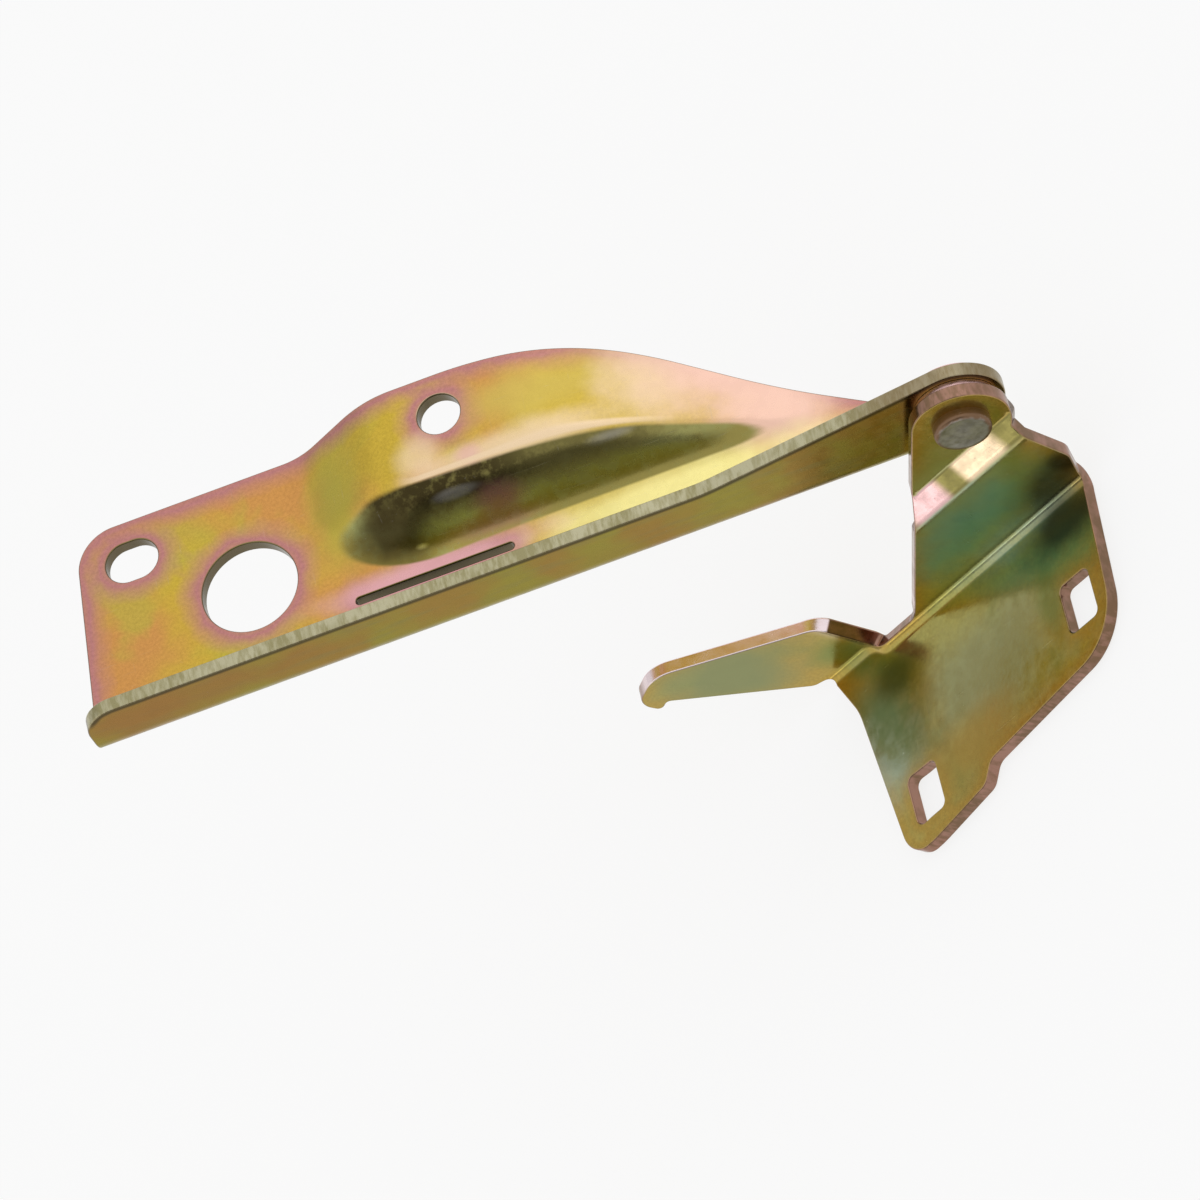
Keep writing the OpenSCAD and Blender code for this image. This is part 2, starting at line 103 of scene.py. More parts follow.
class HingeArmSettings(PropertyGroup):
    """Sizes of the arm that carries the bonnet"""
    tilt: angle("Tilt", "Angle of the arm above the flange", 33)
    stand_off: length("Stand-off", "Bracket's eye to the web's outer face", 4.9)
    reach: length("Reach", "Pivot to the free end", 186.2)
    web_top: length("Web top", "Top edge of the web above the pivot axis", 0.8)
    drop: length("Drop", "Underside of the plate below the pivot axis", 14.3)
    knee_x: length("Knee", "Pivot to the place where the web starts to widen", 53)
    fold_end: length("Fold end", "Pivot to the end of the fold", 12)
    width: length("Plate width", "Web's outer face to the plate's far edge", 49.5)
    end_slant: length("End slant", "Slant of the plate's free end", 4.2)
    end_round: length("End corner", "Radius of the plate's free corner", 9)
    web_round: length("Web corner", "Radius of the web's free corner", 7)
    taper_foot: length("Taper foot", "Width left where the fold ends", 11.5)
    taper: angle("Taper", "Angle of the tapered edge", 31.3)
    taper_round: length("Taper round", "Radius that leads into the taper", 92)
    seat: length("Seat height", "Raised seat above the plate", 11.4)
    wall_y: length("Wall foot", "Web's outer face to the foot of the seat's wall", 16.4)
    wall_run: length("Wall run", "Depth of the sloped front wall", 8.9)
    ramp_x: length("Ramp foot", "Pivot to the foot of the ramp", 133)
    ramp_run: length("Ramp run", "Length of the ramp at the free side", 17.5)
    seat_round: length("Seat corner", "Radius of the seat's top corner", 7)
    slope_x: length("Slope foot", "Pivot to the foot of the long slope", 34.3)
    slope_run: length("Slope run", "Length of the long slope", 39.6)
    crest_soft: share("Crest round", "Round of the seat's crest as a share of its height", 0.34)
    foot_soft: share("Foot round", "Round of the seat's foot as a share of its height", 0.22)
    bolt_x: length("Seat bolt", "Pivot to the bolt hole on the seat", 100.9)
    bolt_pitch: length("Bolt pitch", "Distance between the bonnet bolts", 70.5)
    bolt_y: length("Bolt line", "Web's outer face to the bonnet bolts", 40.1)
    bolt_hole: length("Bolt hole", "Diameter of the bonnet bolt holes", 9)
    bolt_slot: length("Bolt slot", "Length of the slotted bolt hole", 11.2)
    access_hole: length("Access hole", "Diameter of the large hole", 20.2)
    access_x: length("Access hole along", "Pivot to the large hole", 148.9)
    access_y: length("Access hole across", "Web's outer face to the large hole", 24.4)
    relief: length("Relief slot", "Length of the narrow slot beside the fold", 33.8)
    relief_width: length("Relief width", "Width of the narrow slot", 1.6)
    relief_x: length("Relief along", "Pivot to the middle of the narrow slot", 111.5)
    relief_land: length("Relief land", "Narrow slot to the foot of the seat's wall", 3.4)
    knee_round: length("Knee round", "Radius where the web starts to widen", 30)
    toe_rise: length("Toe", "How far up the fold its end is cut", 1)
    toe_round: length("Toe round", "Radius where the fold ends", 2)
    taper_corner: length("Taper corner", "Radius at the foot of the tapered edge", 3)


class HingeBracketSettings(PropertyGroup):
    """Sizes of the bracket on the body"""
    step: length("Step", "Forward step from the eye to the upright wall", 3)
    step_top: length("Step top", "Eye's centre to the top of the step", 6.6)
    step_height: length("Step height", "Height of the step", 5)
    step_round: length("Step bend", "Inner radius of the step's bends", 1.5)
    wall_slope: angle("Wall slope", "Slope of the ear's front edge", 39.9)
    wall_rear: length("Wall rear", "Ear's rear edge behind the pivot axis", 4.9)
    notch: length("Notch", "Notch floor above the body panel", 3.3)
    finger_x: length("Finger", "Pivot axis to the finger's upright edge", 66.3)
    sway: angle("Sway", "Plan angle of the sway between ear and finger", 45)
    finger_edge: length("Finger edge", "Height of the finger's upright edge", 16.7)
    finger_slope: angle("Finger slope", "Slope of the finger's top edge", 39.4)
    finger_reach: length("Finger reach", "Reach of the fingertip", 37)
    slot_dx: length("Slots along", "Distance between the body slots along the flange", 52.2)
    slot_dy: length("Slots across", "Distance between the body slots across the flange", 12.2)
    slot_width: length("Slot width", "Width of the body slots", 8.4)
    slot_length: length("Slot length", "Length of the body slots", 11)
    slot_round: length("Slot corner", "Corner radius of the body slots", 1.5)
    rear_margin: length("Rear margin", "Rear slot to the rear edge", 7.3)
    front_margin: length("Front margin", "Rear slot to the front edge", 13.3)
    nose_margin: length("Nose margin", "Front slot to the nose", 11.8)
    side_margin: length("Side margin", "Front slot to the side edge", 8.4)
    notch_turn: share("Notch turn", "Share of the fold's turn left below the notch", 0.77)
    notch_round: length("Notch corner", "Radius of the notch below the ear", 3)
    rear_lead: length("Rear lead", "Ear's foot behind the flange's rear edge", 2)
    swell: length("Swell", "How far the ear's rear edge swells above its foot", 1.6)
    swell_round: length("Swell round", "Radius of that swell", 3)
    waist_in: length("Waist", "How far the ear's rear edge draws in", 1.6)
    waist_height: length("Waist height", "Height of the waist above the body panel", 11)
    waist_round: length("Waist round", "Radius of the waist", 5)
    tip_top: length("Tip top", "Fingertip to the end of the sloped top edge", 9)
    tip_drop: length("Tip drop", "Top of the fingertip to its nose", 3.6)
    tip_depth: length("Tip depth", "Top of the fingertip to its lower corner", 9.6)
    tip_back: length("Tip back", "Nose of the fingertip to its lower corner", 0.5)
    tip_hook: length("Tip hook", "Nose of the fingertip to the end of its hook", 3.4)
    hook_rise: length("Hook rise", "Lower corner of the fingertip to the end of its hook", 1)
    root_reach: length("Root reach", "Flange's side edge to the finger's root", 7.8)
    root_run: length("Root run", "Length of the bend at the finger's root", 4)
    root_drop: length("Root drop", "Height of the bend at the finger's root", 1.8)
    root_round: length("Root round", "Radius of the bends at the finger's root", 3)
    root_bend_x: length("Root bend along", "Finger's root to the bend of the side edge", 4)
    root_bend_y: length("Root bend across", "Fold to the bend of the side edge", 6)
    root_bend_round: length("Root bend round", "Radius of the bend of the side edge", 14)
    nose_round: length("Nose round", "Radius of the nose", 6.5)
    nose_step_x: length("Nose step", "Pivot axis to the step in the front edge", 48)
    nose_step_y: length("Nose step inset", "Front edge to the start of the step", 3.2)
    nose_step_run: length("Nose step run", "Length of the step in the front edge", 3)
    nose_step_depth: length("Nose step depth", "Depth of the step in the front edge", 4)
    nose_step_round: length("Nose step round", "Radius of the step's corners", 3)
    front_lead: length("Front lead", "How far the front edge draws in at the rear", 1)
    rear_round: length("Rear round", "Radius of the flange's rear corner", 13)


class HingePivotSettings(PropertyGroup):
    """Sizes of the rivet"""
    head: length("Front head", "Diameter of the front head", 11.7)
    head_height: length("Front head height", "Height of the front head", 2.2)
    tail: length("Rear head", "Diameter of the rear head", 12.4)
    tail_height: length("Rear head height", "Height of the rear head", 2.6)
    tail_front: length("Grip", "Length of the shank between the heads", 9.2)


class HingeFinishSettings(PropertyGroup):
    """Colours of the plated and bare metal"""
    halo: length("Halo width", "Width of the rose band along edges", 5.5)
    marks: share("Handling marks", "Strength of scratches and pits", 0.5)
    gold: tint("Gold", "Main colour of the arm's film", (0.56, 0.39, 0.05))
    amber: tint("Amber", "Warmer patches of the film", (0.58, 0.28, 0.08))
    olive: tint("Olive", "Greener patches of the film", (0.46, 0.40, 0.06))
    rose: tint("Rose", "Halo along edges and holes", (0.47, 0.2, 0.19))
    # Painted highlight on the step's front facet; the washers' own rosy film.
    pink: tint("Pink", "Front facet of the step, and the washers", (0.72, 0.46, 0.45))
    orchid: tint("Orchid", "Magenta film beside the relief slot", (0.74, 0.40, 0.42))
    lemon: tint("Lemon", "Top of the raised seat", (0.58, 0.44, 0.10))
    # Pink film of the long slope, brightened as painted highlight.
    blush: tint("Blush", "Long slope of the seat", (0.83, 0.54, 0.43))
    # Painted highlight on the seat's crest, the start of the slope and the step's rear facet.
    cream_highlight: tint("Cream", "Crest of the seat and rear facet of the step", (0.84, 0.64, 0.42))
    # Painted highlight in the channel between web and seat; also small bright flecks at the foot
    # of the seat's wall.
    straw: tint("Straw", "Channel between web and seat", (0.88, 0.78, 0.31))
    # Painted dark reflection on the seat's front wall, olive towards its foot; the wall colour is
    # also used on the web's inside.
    wall: tint("Wall", "Middle of the worked wall and inside of the web", (0.42, 0.43, 0.16))
    wall_foot: tint("Wall foot", "Foot of the worked wall", (0.36, 0.29, 0.07))
    # Dark streaks on the web, and painted dark reflection on the seat's wall and in the step's
    # gap.
    patina_and_shade: tint("Patina", "Darkened film", (0.23, 0.2, 0.065))
    # Painted darkest shade: top and ramp end of the seat's wall, under the web's top edge, in the
    # relief slot, and dark reflections on the bracket by the ear.
    painted_shade: tint("Soot", "Darkest mottling", (0.05, 0.038, 0.014))
    plum: tint("Plum", "Purple patch on the worked wall", (0.32, 0.14, 0.13))
    worn: tint("Worn", "Rubbed and scratched places", (0.46, 0.44, 0.4))
    # Outer face of the web, darker than the plate as painted dark reflection.
    web: tint("Web", "Outer face of the web", (0.31, 0.19, 0.035))
    web_green: tint("Web green", "Greener patches of the web", (0.29, 0.24, 0.035))
    rust: tint("Rust", "Brown patches of the web", (0.31, 0.145, 0.035))
    # Sheared top edge of the web, lighter than the other cut edges as painted highlight.
    cut: tint("Pale cut", "Sheared top edge of the web", (0.46, 0.43, 0.28))
    cut_dark: tint("Dark cut", "Shear marks on that edge", (0.3, 0.27, 0.14))
    cut_brown: tint("Brown cut", "Other sheared edges", (0.13, 0.105, 0.06))
    cut_rose: tint("Rose cut", "Rosy sheared edges", (0.34, 0.19, 0.14))
    # Painted highlight on the finger's sheared top edge, where it faces up.
    cut_pale: tint("Pale rose cut", "Sheared edges that face up", (0.85, 0.72, 0.74))
    brass: tint("Brass", "Main colour of the bracket's film", (0.41, 0.37, 0.11))
    bronze: tint("Bronze", "Warmer patches of the bracket", (0.45, 0.31, 0.07))
    moss: tint("Moss", "Green patches of the bracket's film", (0.2, 0.25, 0.07))
    ear: tint("Ear", "Film on the ear", (0.5, 0.52, 0.27))
    # Blue-green film of the ear with painted reflection laid in.
    teal: tint("Teal", "Blue-green patch of the ear", (0.17, 0.41, 0.48))
    sage: tint("Sage", "Film on the finger", (0.25, 0.27, 0.12))
    slate: tint("Slate", "Grey-blue patches of the flange", (0.38, 0.5, 0.42))
    pewter: tint("Pewter", "Grey-gold middle of the flange", (0.32, 0.34, 0.18))
    # Painted dark reflection on the flange below the notch.
    deep: tint("Deep green", "Dark film below the notch", (0.1, 0.13, 0.05))
    bare: tint("Bare steel", "Face of the rivet", (0.36, 0.35, 0.33))
    bare_dark: tint("Dull steel", "Duller patches of the rivet", (0.24, 0.23, 0.21))
    browned: tint("Browned steel", "Rim of the rivet and browned edges", (0.2, 0.12, 0.07))


class HingeStageSettings(PropertyGroup):
    """Camera, light and floor"""
    width: length("View width", "Width of the picture at the hinge", 234.2)
    distance: length("Camera distance", "Camera to the middle of the picture", 2200)
    floor: tint("Floor", "Colour of the floor", (0.95, 0.95, 0.95))
    floor_glow: share("Floor white", "How much of the floor is plain white to the camera", 0.8)
    fill: share("Fill", "Light of the surroundings", 1.0)
    lamp: power("Lamp", "Power of the softbox", 0.6)


def millimetres(group):
    """The group's lengths in millimetres, angles in degrees and other values as they are."""
    found = SimpleNamespace()
    for key, prop in group.bl_rna.properties.items():
        if prop.type != "FLOAT":
            continue
        value = getattr(group, key)
        if prop.subtype == "ANGLE":
            value = math.degrees(value)
        elif prop.unit == "LENGTH":
            value = value / MM
        elif prop.array_length:
            value = tuple(value)
        setattr(found, key, value)
    return found


def settings():
    """All the sizes and colours, ready for use."""
    scene = bpy.context.scene
    return SimpleNamespace(**{key: millimetres(getattr(scene, "hinge_" + key)) for key in GROUPS})


def unit(v):
    """Vectors of length 1."""
    v = np.asarray(v, float)
    return v / np.linalg.norm(v, axis=-1, keepdims=True)


def rounded(points, spacing=SPACING, closed=True):
    """A dense polyline from (x, y, corner radius) points."""
    pts = [np.array(p[:2], float) for p in points]
    out, n = [], len(pts)
    for i, p in enumerate(points):
        b, r = pts[i], p[2]
        if r <= 0 or (not closed and i in (0, n - 1)):
            out.append(b)
            continue
        u, v = unit(pts[i - 1] - b), unit(pts[(i + 1) % n] - b)
        half = math.acos(max(-1, min(1, float(u @ v)))) / 2
        centre = b + unit(u + v) * r / math.sin(half)
        first = b + u * r / math.tan(half) - centre
        turn = math.pi - 2 * half
        way = 1 if np.cross(b - pts[i - 1], pts[(i + 1) % n] - b) > 0 else -1
        start = math.atan2(first[1], first[0])
        steps = max(4, int(math.ceil(turn * r / spacing * ARC_GAIN)))
        for k in range(steps + 1):
            a = start + way * turn * k / steps
            out.append(centre + r * np.array([math.cos(a), math.sin(a)]))
    return densify(np.array(out), spacing, closed)


def densify(line, spacing, closed=True):
    """The polyline with no step longer than the spacing and no repeated point."""
    out, n = [], len(line)
    for i in range(n if closed else n - 1):
        a, b = line[i], line[(i + 1) % n]
        d = np.linalg.norm(b - a)
        if d < 1e-4:
            continue
        steps = max(1, int(math.ceil(d / spacing)))
        out += [a + (b - a) * k / steps for k in range(steps)]
    if not closed:
        out.append(line[-1])
    return np.array(out)


def circle(x, y, r, spacing=SPACING):
    """A round loop."""
    n = max(24, int(2 * math.pi * r / spacing))
    a = np.arange(n) * 2 * math.pi / n
    return np.stack([x + r * np.cos(a), y + r * np.sin(a)], 1)


def box_hole(x, y, w, h, r, spacing=0.6):
    """A round-cornered rectangle, w along the first axis and h along the second."""
    a, b = w / 2, h / 2
    corners = (x - a, y - b), (x + a, y - b), (x + a, y + b), (x - a, y + b)
    return rounded([(*corner, r) for corner in corners], spacing)


def area(loop):
    """The loop's area, below 0 where it runs clockwise."""
    x, y = loop[:, 0], loop[:, 1]
    return 0.5 * float(np.sum(x * np.roll(y, -1) - np.roll(x, -1) * y))


def inside(points, loops):
    """Which points lie inside an odd number of the loops."""
    hit = np.zeros(len(points), bool)
    for loop in loops:
        a, b = loop, np.roll(loop, -1, 0)
        for p, q in zip(a, b):
            crosses = (p[1] > points[:, 1]) != (q[1] > points[:, 1])
            if abs(q[1] - p[1]) > 1e-12:
                at = p[0] + (points[:, 1] - p[1]) / (q[1] - p[1]) * (q[0] - p[0])
                hit ^= crosses & (points[:, 0] < at)
    return hit


def to_loops(points, loops):
    """Distance from each point to the nearest of the loops."""
    best = np.full(len(points), 1e9)
    for loop in loops:
        for p, q in zip(loop, np.roll(loop, -1, 0)):
            d = q - p
            t = np.clip((points - p) @ d / max(float(d @ d), 1e-12), 0, 1)
            best = np.minimum(best, np.linalg.norm(points - p - t[:, None] * d, axis=1))
    return best


def outward(loop):
    """Unit normals on the right-hand side of a loop."""
    d = unit(np.roll(loop, -1, 0) - np.roll(loop, 1, 0))
    return np.stack([d[:, 1], -d[:, 0]], 1)


def note(mesh, key, vectors):
    """A vector for each point of the mesh."""
    layer = mesh.attributes.new(key, "FLOAT_VECTOR", "POINT")
    layer.data.foreach_set("vector", np.asarray(vectors, np.float32).ravel())


class Sheet:
    """A pressed sheet of even thickness over a plane of two coordinates, in millimetres."""

    STEP = 0.04  # either side of a point, for its slopes
    CLEAR = 0.55  # kept free between the grid and a loop
    ROUND = (22.5, 45, 67.5, 90)  # degrees of the rings that round an edge
    CUT_GAIN = 1.2  # how soon a rounded edge counts as cut

    def __init__(self, point, thickness, edge):
        self.point, self.thickness, self.edge = point, thickness, edge

    def slopes(self, uv):
        """Points, normals and both directions of the sheet's upper face."""
        h, u, v = self.STEP, uv[:, 0], uv[:, 1]
        du = self.point(u + h, v) - self.point(u - h, v)
        dv = self.point(u, v + h) - self.point(u, v - h)
        return self.point(u, v), unit(np.cross(du, dv)), du / (2 * h), dv / (2 * h)

    def lay_out(self, inner, us, vs):
        """Flat points and triangles inside the loops, and where the loops' points went."""
        grid = np.stack(np.meshgrid(us, vs, indexing="ij"), -1).reshape(-1, 2)
        grid = grid[inside(grid, inner)]
        grid = grid[to_loops(grid, inner) > self.CLEAR]
        flat = np.concatenate([*inner, grid])
        edges, first = [], 0
        for loop in inner:
            n = len(loop)
            edges += [(first + i, first + (i + 1) % n) for i in range(n)]
            first += n
        made = delaunay_2d_cdt([Vector(p) for p in flat], edges, [], 0, 1e-5)
        uv = np.array([list(v) for v in made[0]])
        tris = np.array([list(f) for f in made[2] if len(f) == 3])
        tris = tris[inside(uv[tris].mean(1), inner)]
        a, b, c = (uv[tris[:, i]] for i in range(3))
        turn = (b - a)[:, 0] * (c - a)[:, 1] - (b - a)[:, 1] * (c - a)[:, 0]
        tris[turn < 0] = tris[turn < 0][:, ::-1]
        return uv, tris, {src: i for i, group in enumerate(made[3]) for src in group}

    def build(self, name, outer, holes, us, vs):
        """The mesh of the sheet cut to its outline and holes, with rounded edges."""
        outer = outer if area(outer) > 0 else outer[::-1]
        loops = [outer, *(h if area(h) < 0 else h[::-1] for h in holes)]
        normals = [outward(loop) for loop in loops]
        inner = [loop - self.edge * n for loop, n in zip(loops, normals)]
        uv, tris, came = self.lay_out(inner, us, vs)
        p, n, du, dv = self.slopes(uv)
        t, e = self.thickness, self.edge
        count = len(uv)
        points, shade = [p, p - t * n], [n, -n]
        rim = to_loops(uv, loops)
        far, cut = [rim, rim], [np.zeros(count), np.zeros(count)]
        faces = [list(f) for f in tris] + [list(f[::-1] + count) for f in tris]
        base, first = 2 * count, 0
        turns = [math.radians(x) for x in self.ROUND]
        for loop, side in zip(inner, normals):
            m = len(loop)
            ring = np.array([came[first + i] for i in range(m)])
            first += m
            pn, nn = p[ring], n[ring]
            out = unit(du[ring] * side[:, :1] + dv[ring] * side[:, 1:])
            out = unit(out - nn * np.sum(out * nn, 1, keepdims=True))
            rows = [ring]
            for x in turns + [-x for x in turns[::-1]]:
                s, c = math.sin(abs(x)), math.cos(x)
                upper = x > 0
                depth = e * (1 - c) if upper else t - e * (1 - c)
                points.append(pn + out * e * s - nn * depth)
                shade.append(unit(out * s + nn * (c if upper else -c)))
                far.append(np.zeros(m))
                cut.append(np.full(m, min(1.0, s * self.CUT_GAIN)))
                rows.append(np.arange(base, base + m))
                base += m
            rows.append(ring + count)
            for r0, r1 in zip(rows, rows[1:]):
                for i in range(m):
                    j = (i + 1) % m
                    faces.append([int(r0[i]), int(r1[i]), int(r1[j]), int(r0[j])])
        mesh = bpy.data.meshes.new(name)
        co = np.concatenate(points) * MM
        mesh.from_pydata([tuple(x) for x in co], [], [[int(i) for i in f] for f in faces])
        for key, values in (("rim", far), ("cut", cut)):
            layer = mesh.attributes.new(key, "FLOAT", "POINT")
            layer.data.foreach_set("value", np.concatenate(values).astype(np.float32))
        note(mesh, "place", np.concatenate(points))
        note(mesh, "facing", np.concatenate(shade))
        mesh.validate()
        mesh.polygons.foreach_set("use_smooth", [True] * len(mesh.polygons))
        mesh.normals_split_custom_set_from_vertices([tuple(x) for x in np.concatenate(shade)])
        return mesh


def soft_min(a, b, k):
    """The lower of two heights, with a round of k between them."""
    h = np.clip(0.5 + 0.5 * (b - a) / k, 0, 1)
    return b * (1 - h) + a * h - k * h * (1 - h)


def soft_max(a, b, k):
    """The higher of two heights, with a round of k between them."""
    return -soft_min(-a, -b, k)


def arm_surface(sheet, arm):
    """The arm's upper face over x and the way across: web, fold, then plate."""
    top = sheet.sheet - arm.drop
    turn = math.pi / 2 * (sheet.fold + sheet.sheet / 2)
    out = sheet.fold + sheet.sheet
    crest_x = arm.ramp_run - arm.ramp_x + arm.seat_round
    crest_y = arm.wall_y + arm.wall_run + arm.seat_round
    ramp_foot, wall_foot = arm.ramp_run + arm.seat_round, arm.wall_run + arm.seat_round

    def seat(x, y):
        ux, uy = np.maximum(0, crest_x - x), np.maximum(0, crest_y - y)
        d = np.hypot(ux, uy)
        rate = np.hypot(ux / ramp_foot, uy / wall_foot)
        foot = np.where(d > 0.001, d / np.maximum(rate, 1e-9), wall_foot)
        ramp = (foot - d) / (foot - arm.seat_round)
        slope = (-arm.slope_x - x) / arm.slope_run
        rise = soft_min(ramp, slope, arm.crest_soft)
        return soft_max(soft_min(rise, 1, arm.crest_soft), 0, arm.foot_soft)

    def point(x, s):
        a = np.clip(-s / turn, 0, 1) * math.pi / 2
        y = np.where(s > 0, out + s, out - sheet.fold * np.sin(a))
        z = top + sheet.fold * (1 - np.cos(a)) + np.maximum(0, -s - turn)
        z = z + np.where(s > 0, arm.seat * seat(x, y), 0)
        return np.stack([x + 0 * s, y, z], -1)

    return point, turn, out, top


def touch(q, r, way):
    """Where the tangent from q meets the circle of radius r round the pivot, on one side."""
    a = math.atan2(q[1], q[0]) + way * math.acos(r / math.hypot(*q))
    return r * math.cos(a), r * math.sin(a)


def stations(*pieces):
    """Values from (start, end, step) pieces, in order."""
    out = []
    for a, b, step in pieces:
        n = max(1, int(round(abs(b - a) / step)))
        out += [a + (b - a) * i / n for i in range(n)]
    return np.array(out + [pieces[-1][1]])


FOLD_STEPS, ARM_EYE_POINTS, EAR_EYE_POINTS = 10, 60, 70
SLACK = 0.01  # keeps the two arcs of a slot's round end from meeting, in millimetres


def arm_mesh(s):
    """The arm's sheet in its own axes: from the pivot, the web's outer face and the pivot axis."""
    sheet, arm = s.sheet, s.arm
    point, turn, out, top = arm_surface(sheet, arm)

    def up(z):
        return -turn - (z - top - sheet.fold)

    def plan(y):
        return y - out

    knee, toe = (-arm.knee_x, arm.web_top), (-arm.fold_end, -arm.drop)
    crown, keel = touch(knee, sheet.eye, -1), touch(toe, sheet.eye, 1)
    a0, a1 = math.atan2(keel[1], keel[0]), math.atan2(crown[1], crown[0])
    eye = [(sheet.eye * math.cos(a), up(sheet.eye * math.sin(a)), 0)
           for a in np.linspace(a0, a1, ARM_EYE_POINTS)]
    taper_x = -arm.fold_end - (arm.width - arm.taper_foot) / math.tan(math.radians(arm.taper))
    outer = rounded([
        (-arm.reach, -turn, 0),
        (-arm.reach, up(arm.web_top), arm.web_round),
        (knee[0], up(knee[1]), arm.knee_round),
        *eye[::-1],
        (keel[0], up(keel[1]), 0),
        (-arm.fold_end, -arm.toe_rise, arm.toe_round),
        (-arm.fold_end, plan(arm.taper_foot), arm.taper_corner),
        (taper_x, plan(arm.width), arm.taper_round),
        (arm.end_slant - arm.reach, plan(arm.width), arm.end_round),
        (-arm.reach, 0, 0),
    ])
    r, relief_r = arm.bolt_hole / 2, arm.relief_width / 2
    bolt_v, relief_v = plan(arm.bolt_y), plan(arm.wall_y - arm.relief_land - relief_r)
    holes = [
        circle(0, up(0), sheet.shank),
        circle(-arm.bolt_x, bolt_v, r),
        box_hole(-arm.bolt_x - arm.bolt_pitch, bolt_v, arm.bolt_slot, arm.bolt_hole, r - SLACK),
        circle(-arm.access_x, plan(arm.access_y), arm.access_hole / 2),
        box_hole(-arm.relief_x, relief_v, arm.relief, arm.relief_width, relief_r - SLACK,
                 spacing=0.4),
    ]
    # Grid lines, closer together on the ramp, the long slope, the fold and the seat's wall.
    ramp, slope, wall, past = (-136, -100), (-86, -28), (5, 27), 12
    us = stations((-arm.reach, ramp[0], 2.5), (*ramp, 1.2), (ramp[1], slope[0], 1.6),
                  (*slope, 1.5), (slope[1], past, 2))
    vs = stations((up(past), -turn, 2), (-turn, 0, turn / FOLD_STEPS), (0, wall[0], 1.6),
                  (*wall, 0.9), (wall[1], plan(arm.width), 2))
    return Sheet(point, sheet.sheet, sheet.edge).build("bonnet_arm_sheet", outer, holes, us, vs)


def bracket_surface(sheet, bracket):
    """The bracket's front face over x and the way up: flange, fold, then upright sheet."""
    t, fold = sheet.sheet, sheet.fold
    out, turn = fold + t, math.pi / 2 * (fold + t / 2)
    r = bracket.step / 2 / (1 - math.cos(math.radians(bracket.sway)))
    run = 2 * r * math.sin(math.radians(bracket.sway))
    x1 = run / 2 - bracket.finger_x
    x0 = x1 - run

    def left(x):
        """How much of the forward step is left at x."""
        near = np.clip(np.minimum(x1 - x, x - x0), 0, r)
        bow = (r - np.sqrt(r * r - near * near)) / bracket.step
        return np.where(x > -bracket.finger_x, 1 - bow, bow)

    zs = sheet.pivot_z
    path = rounded([
        (-bracket.step, out, 0),
        (-bracket.step, zs - bracket.step_top - bracket.step_height, bracket.step_round + t),
        (0, zs - bracket.step_top, bracket.step_round),
        (0, zs + 2 * sheet.eye, 0),
    ], 0.1, closed=False)

    def point(x, v):
        a = np.clip(v / turn, 0, 1) * math.pi / 2
        z = t + fold * (1 - np.cos(a)) + np.maximum(0, v - turn)
        ear = np.interp(z, path[:, 1], path[:, 0], left=-bracket.step, right=0)
        front = ear * left(x)
        low = foot(x) + fold * np.sin(a) + np.minimum(v, 0)
        y = np.where(v < turn, low, front)
        return np.stack([x + 0 * v, y, z], -1)

    def foot(x):
        """Where the flange ends and the fold starts."""
        return -bracket.step * left(np.asarray(x, float)) - fold

    return point, turn, out, foot, (x0, x1)


FINGER_ROUNDS = 1.5, 1  # foot and top of the finger's upright edge, in millimetres
TIP_ROUNDS = 7, 4.5, 1.2, 1  # top, nose, lower corner and hook of the fingertip


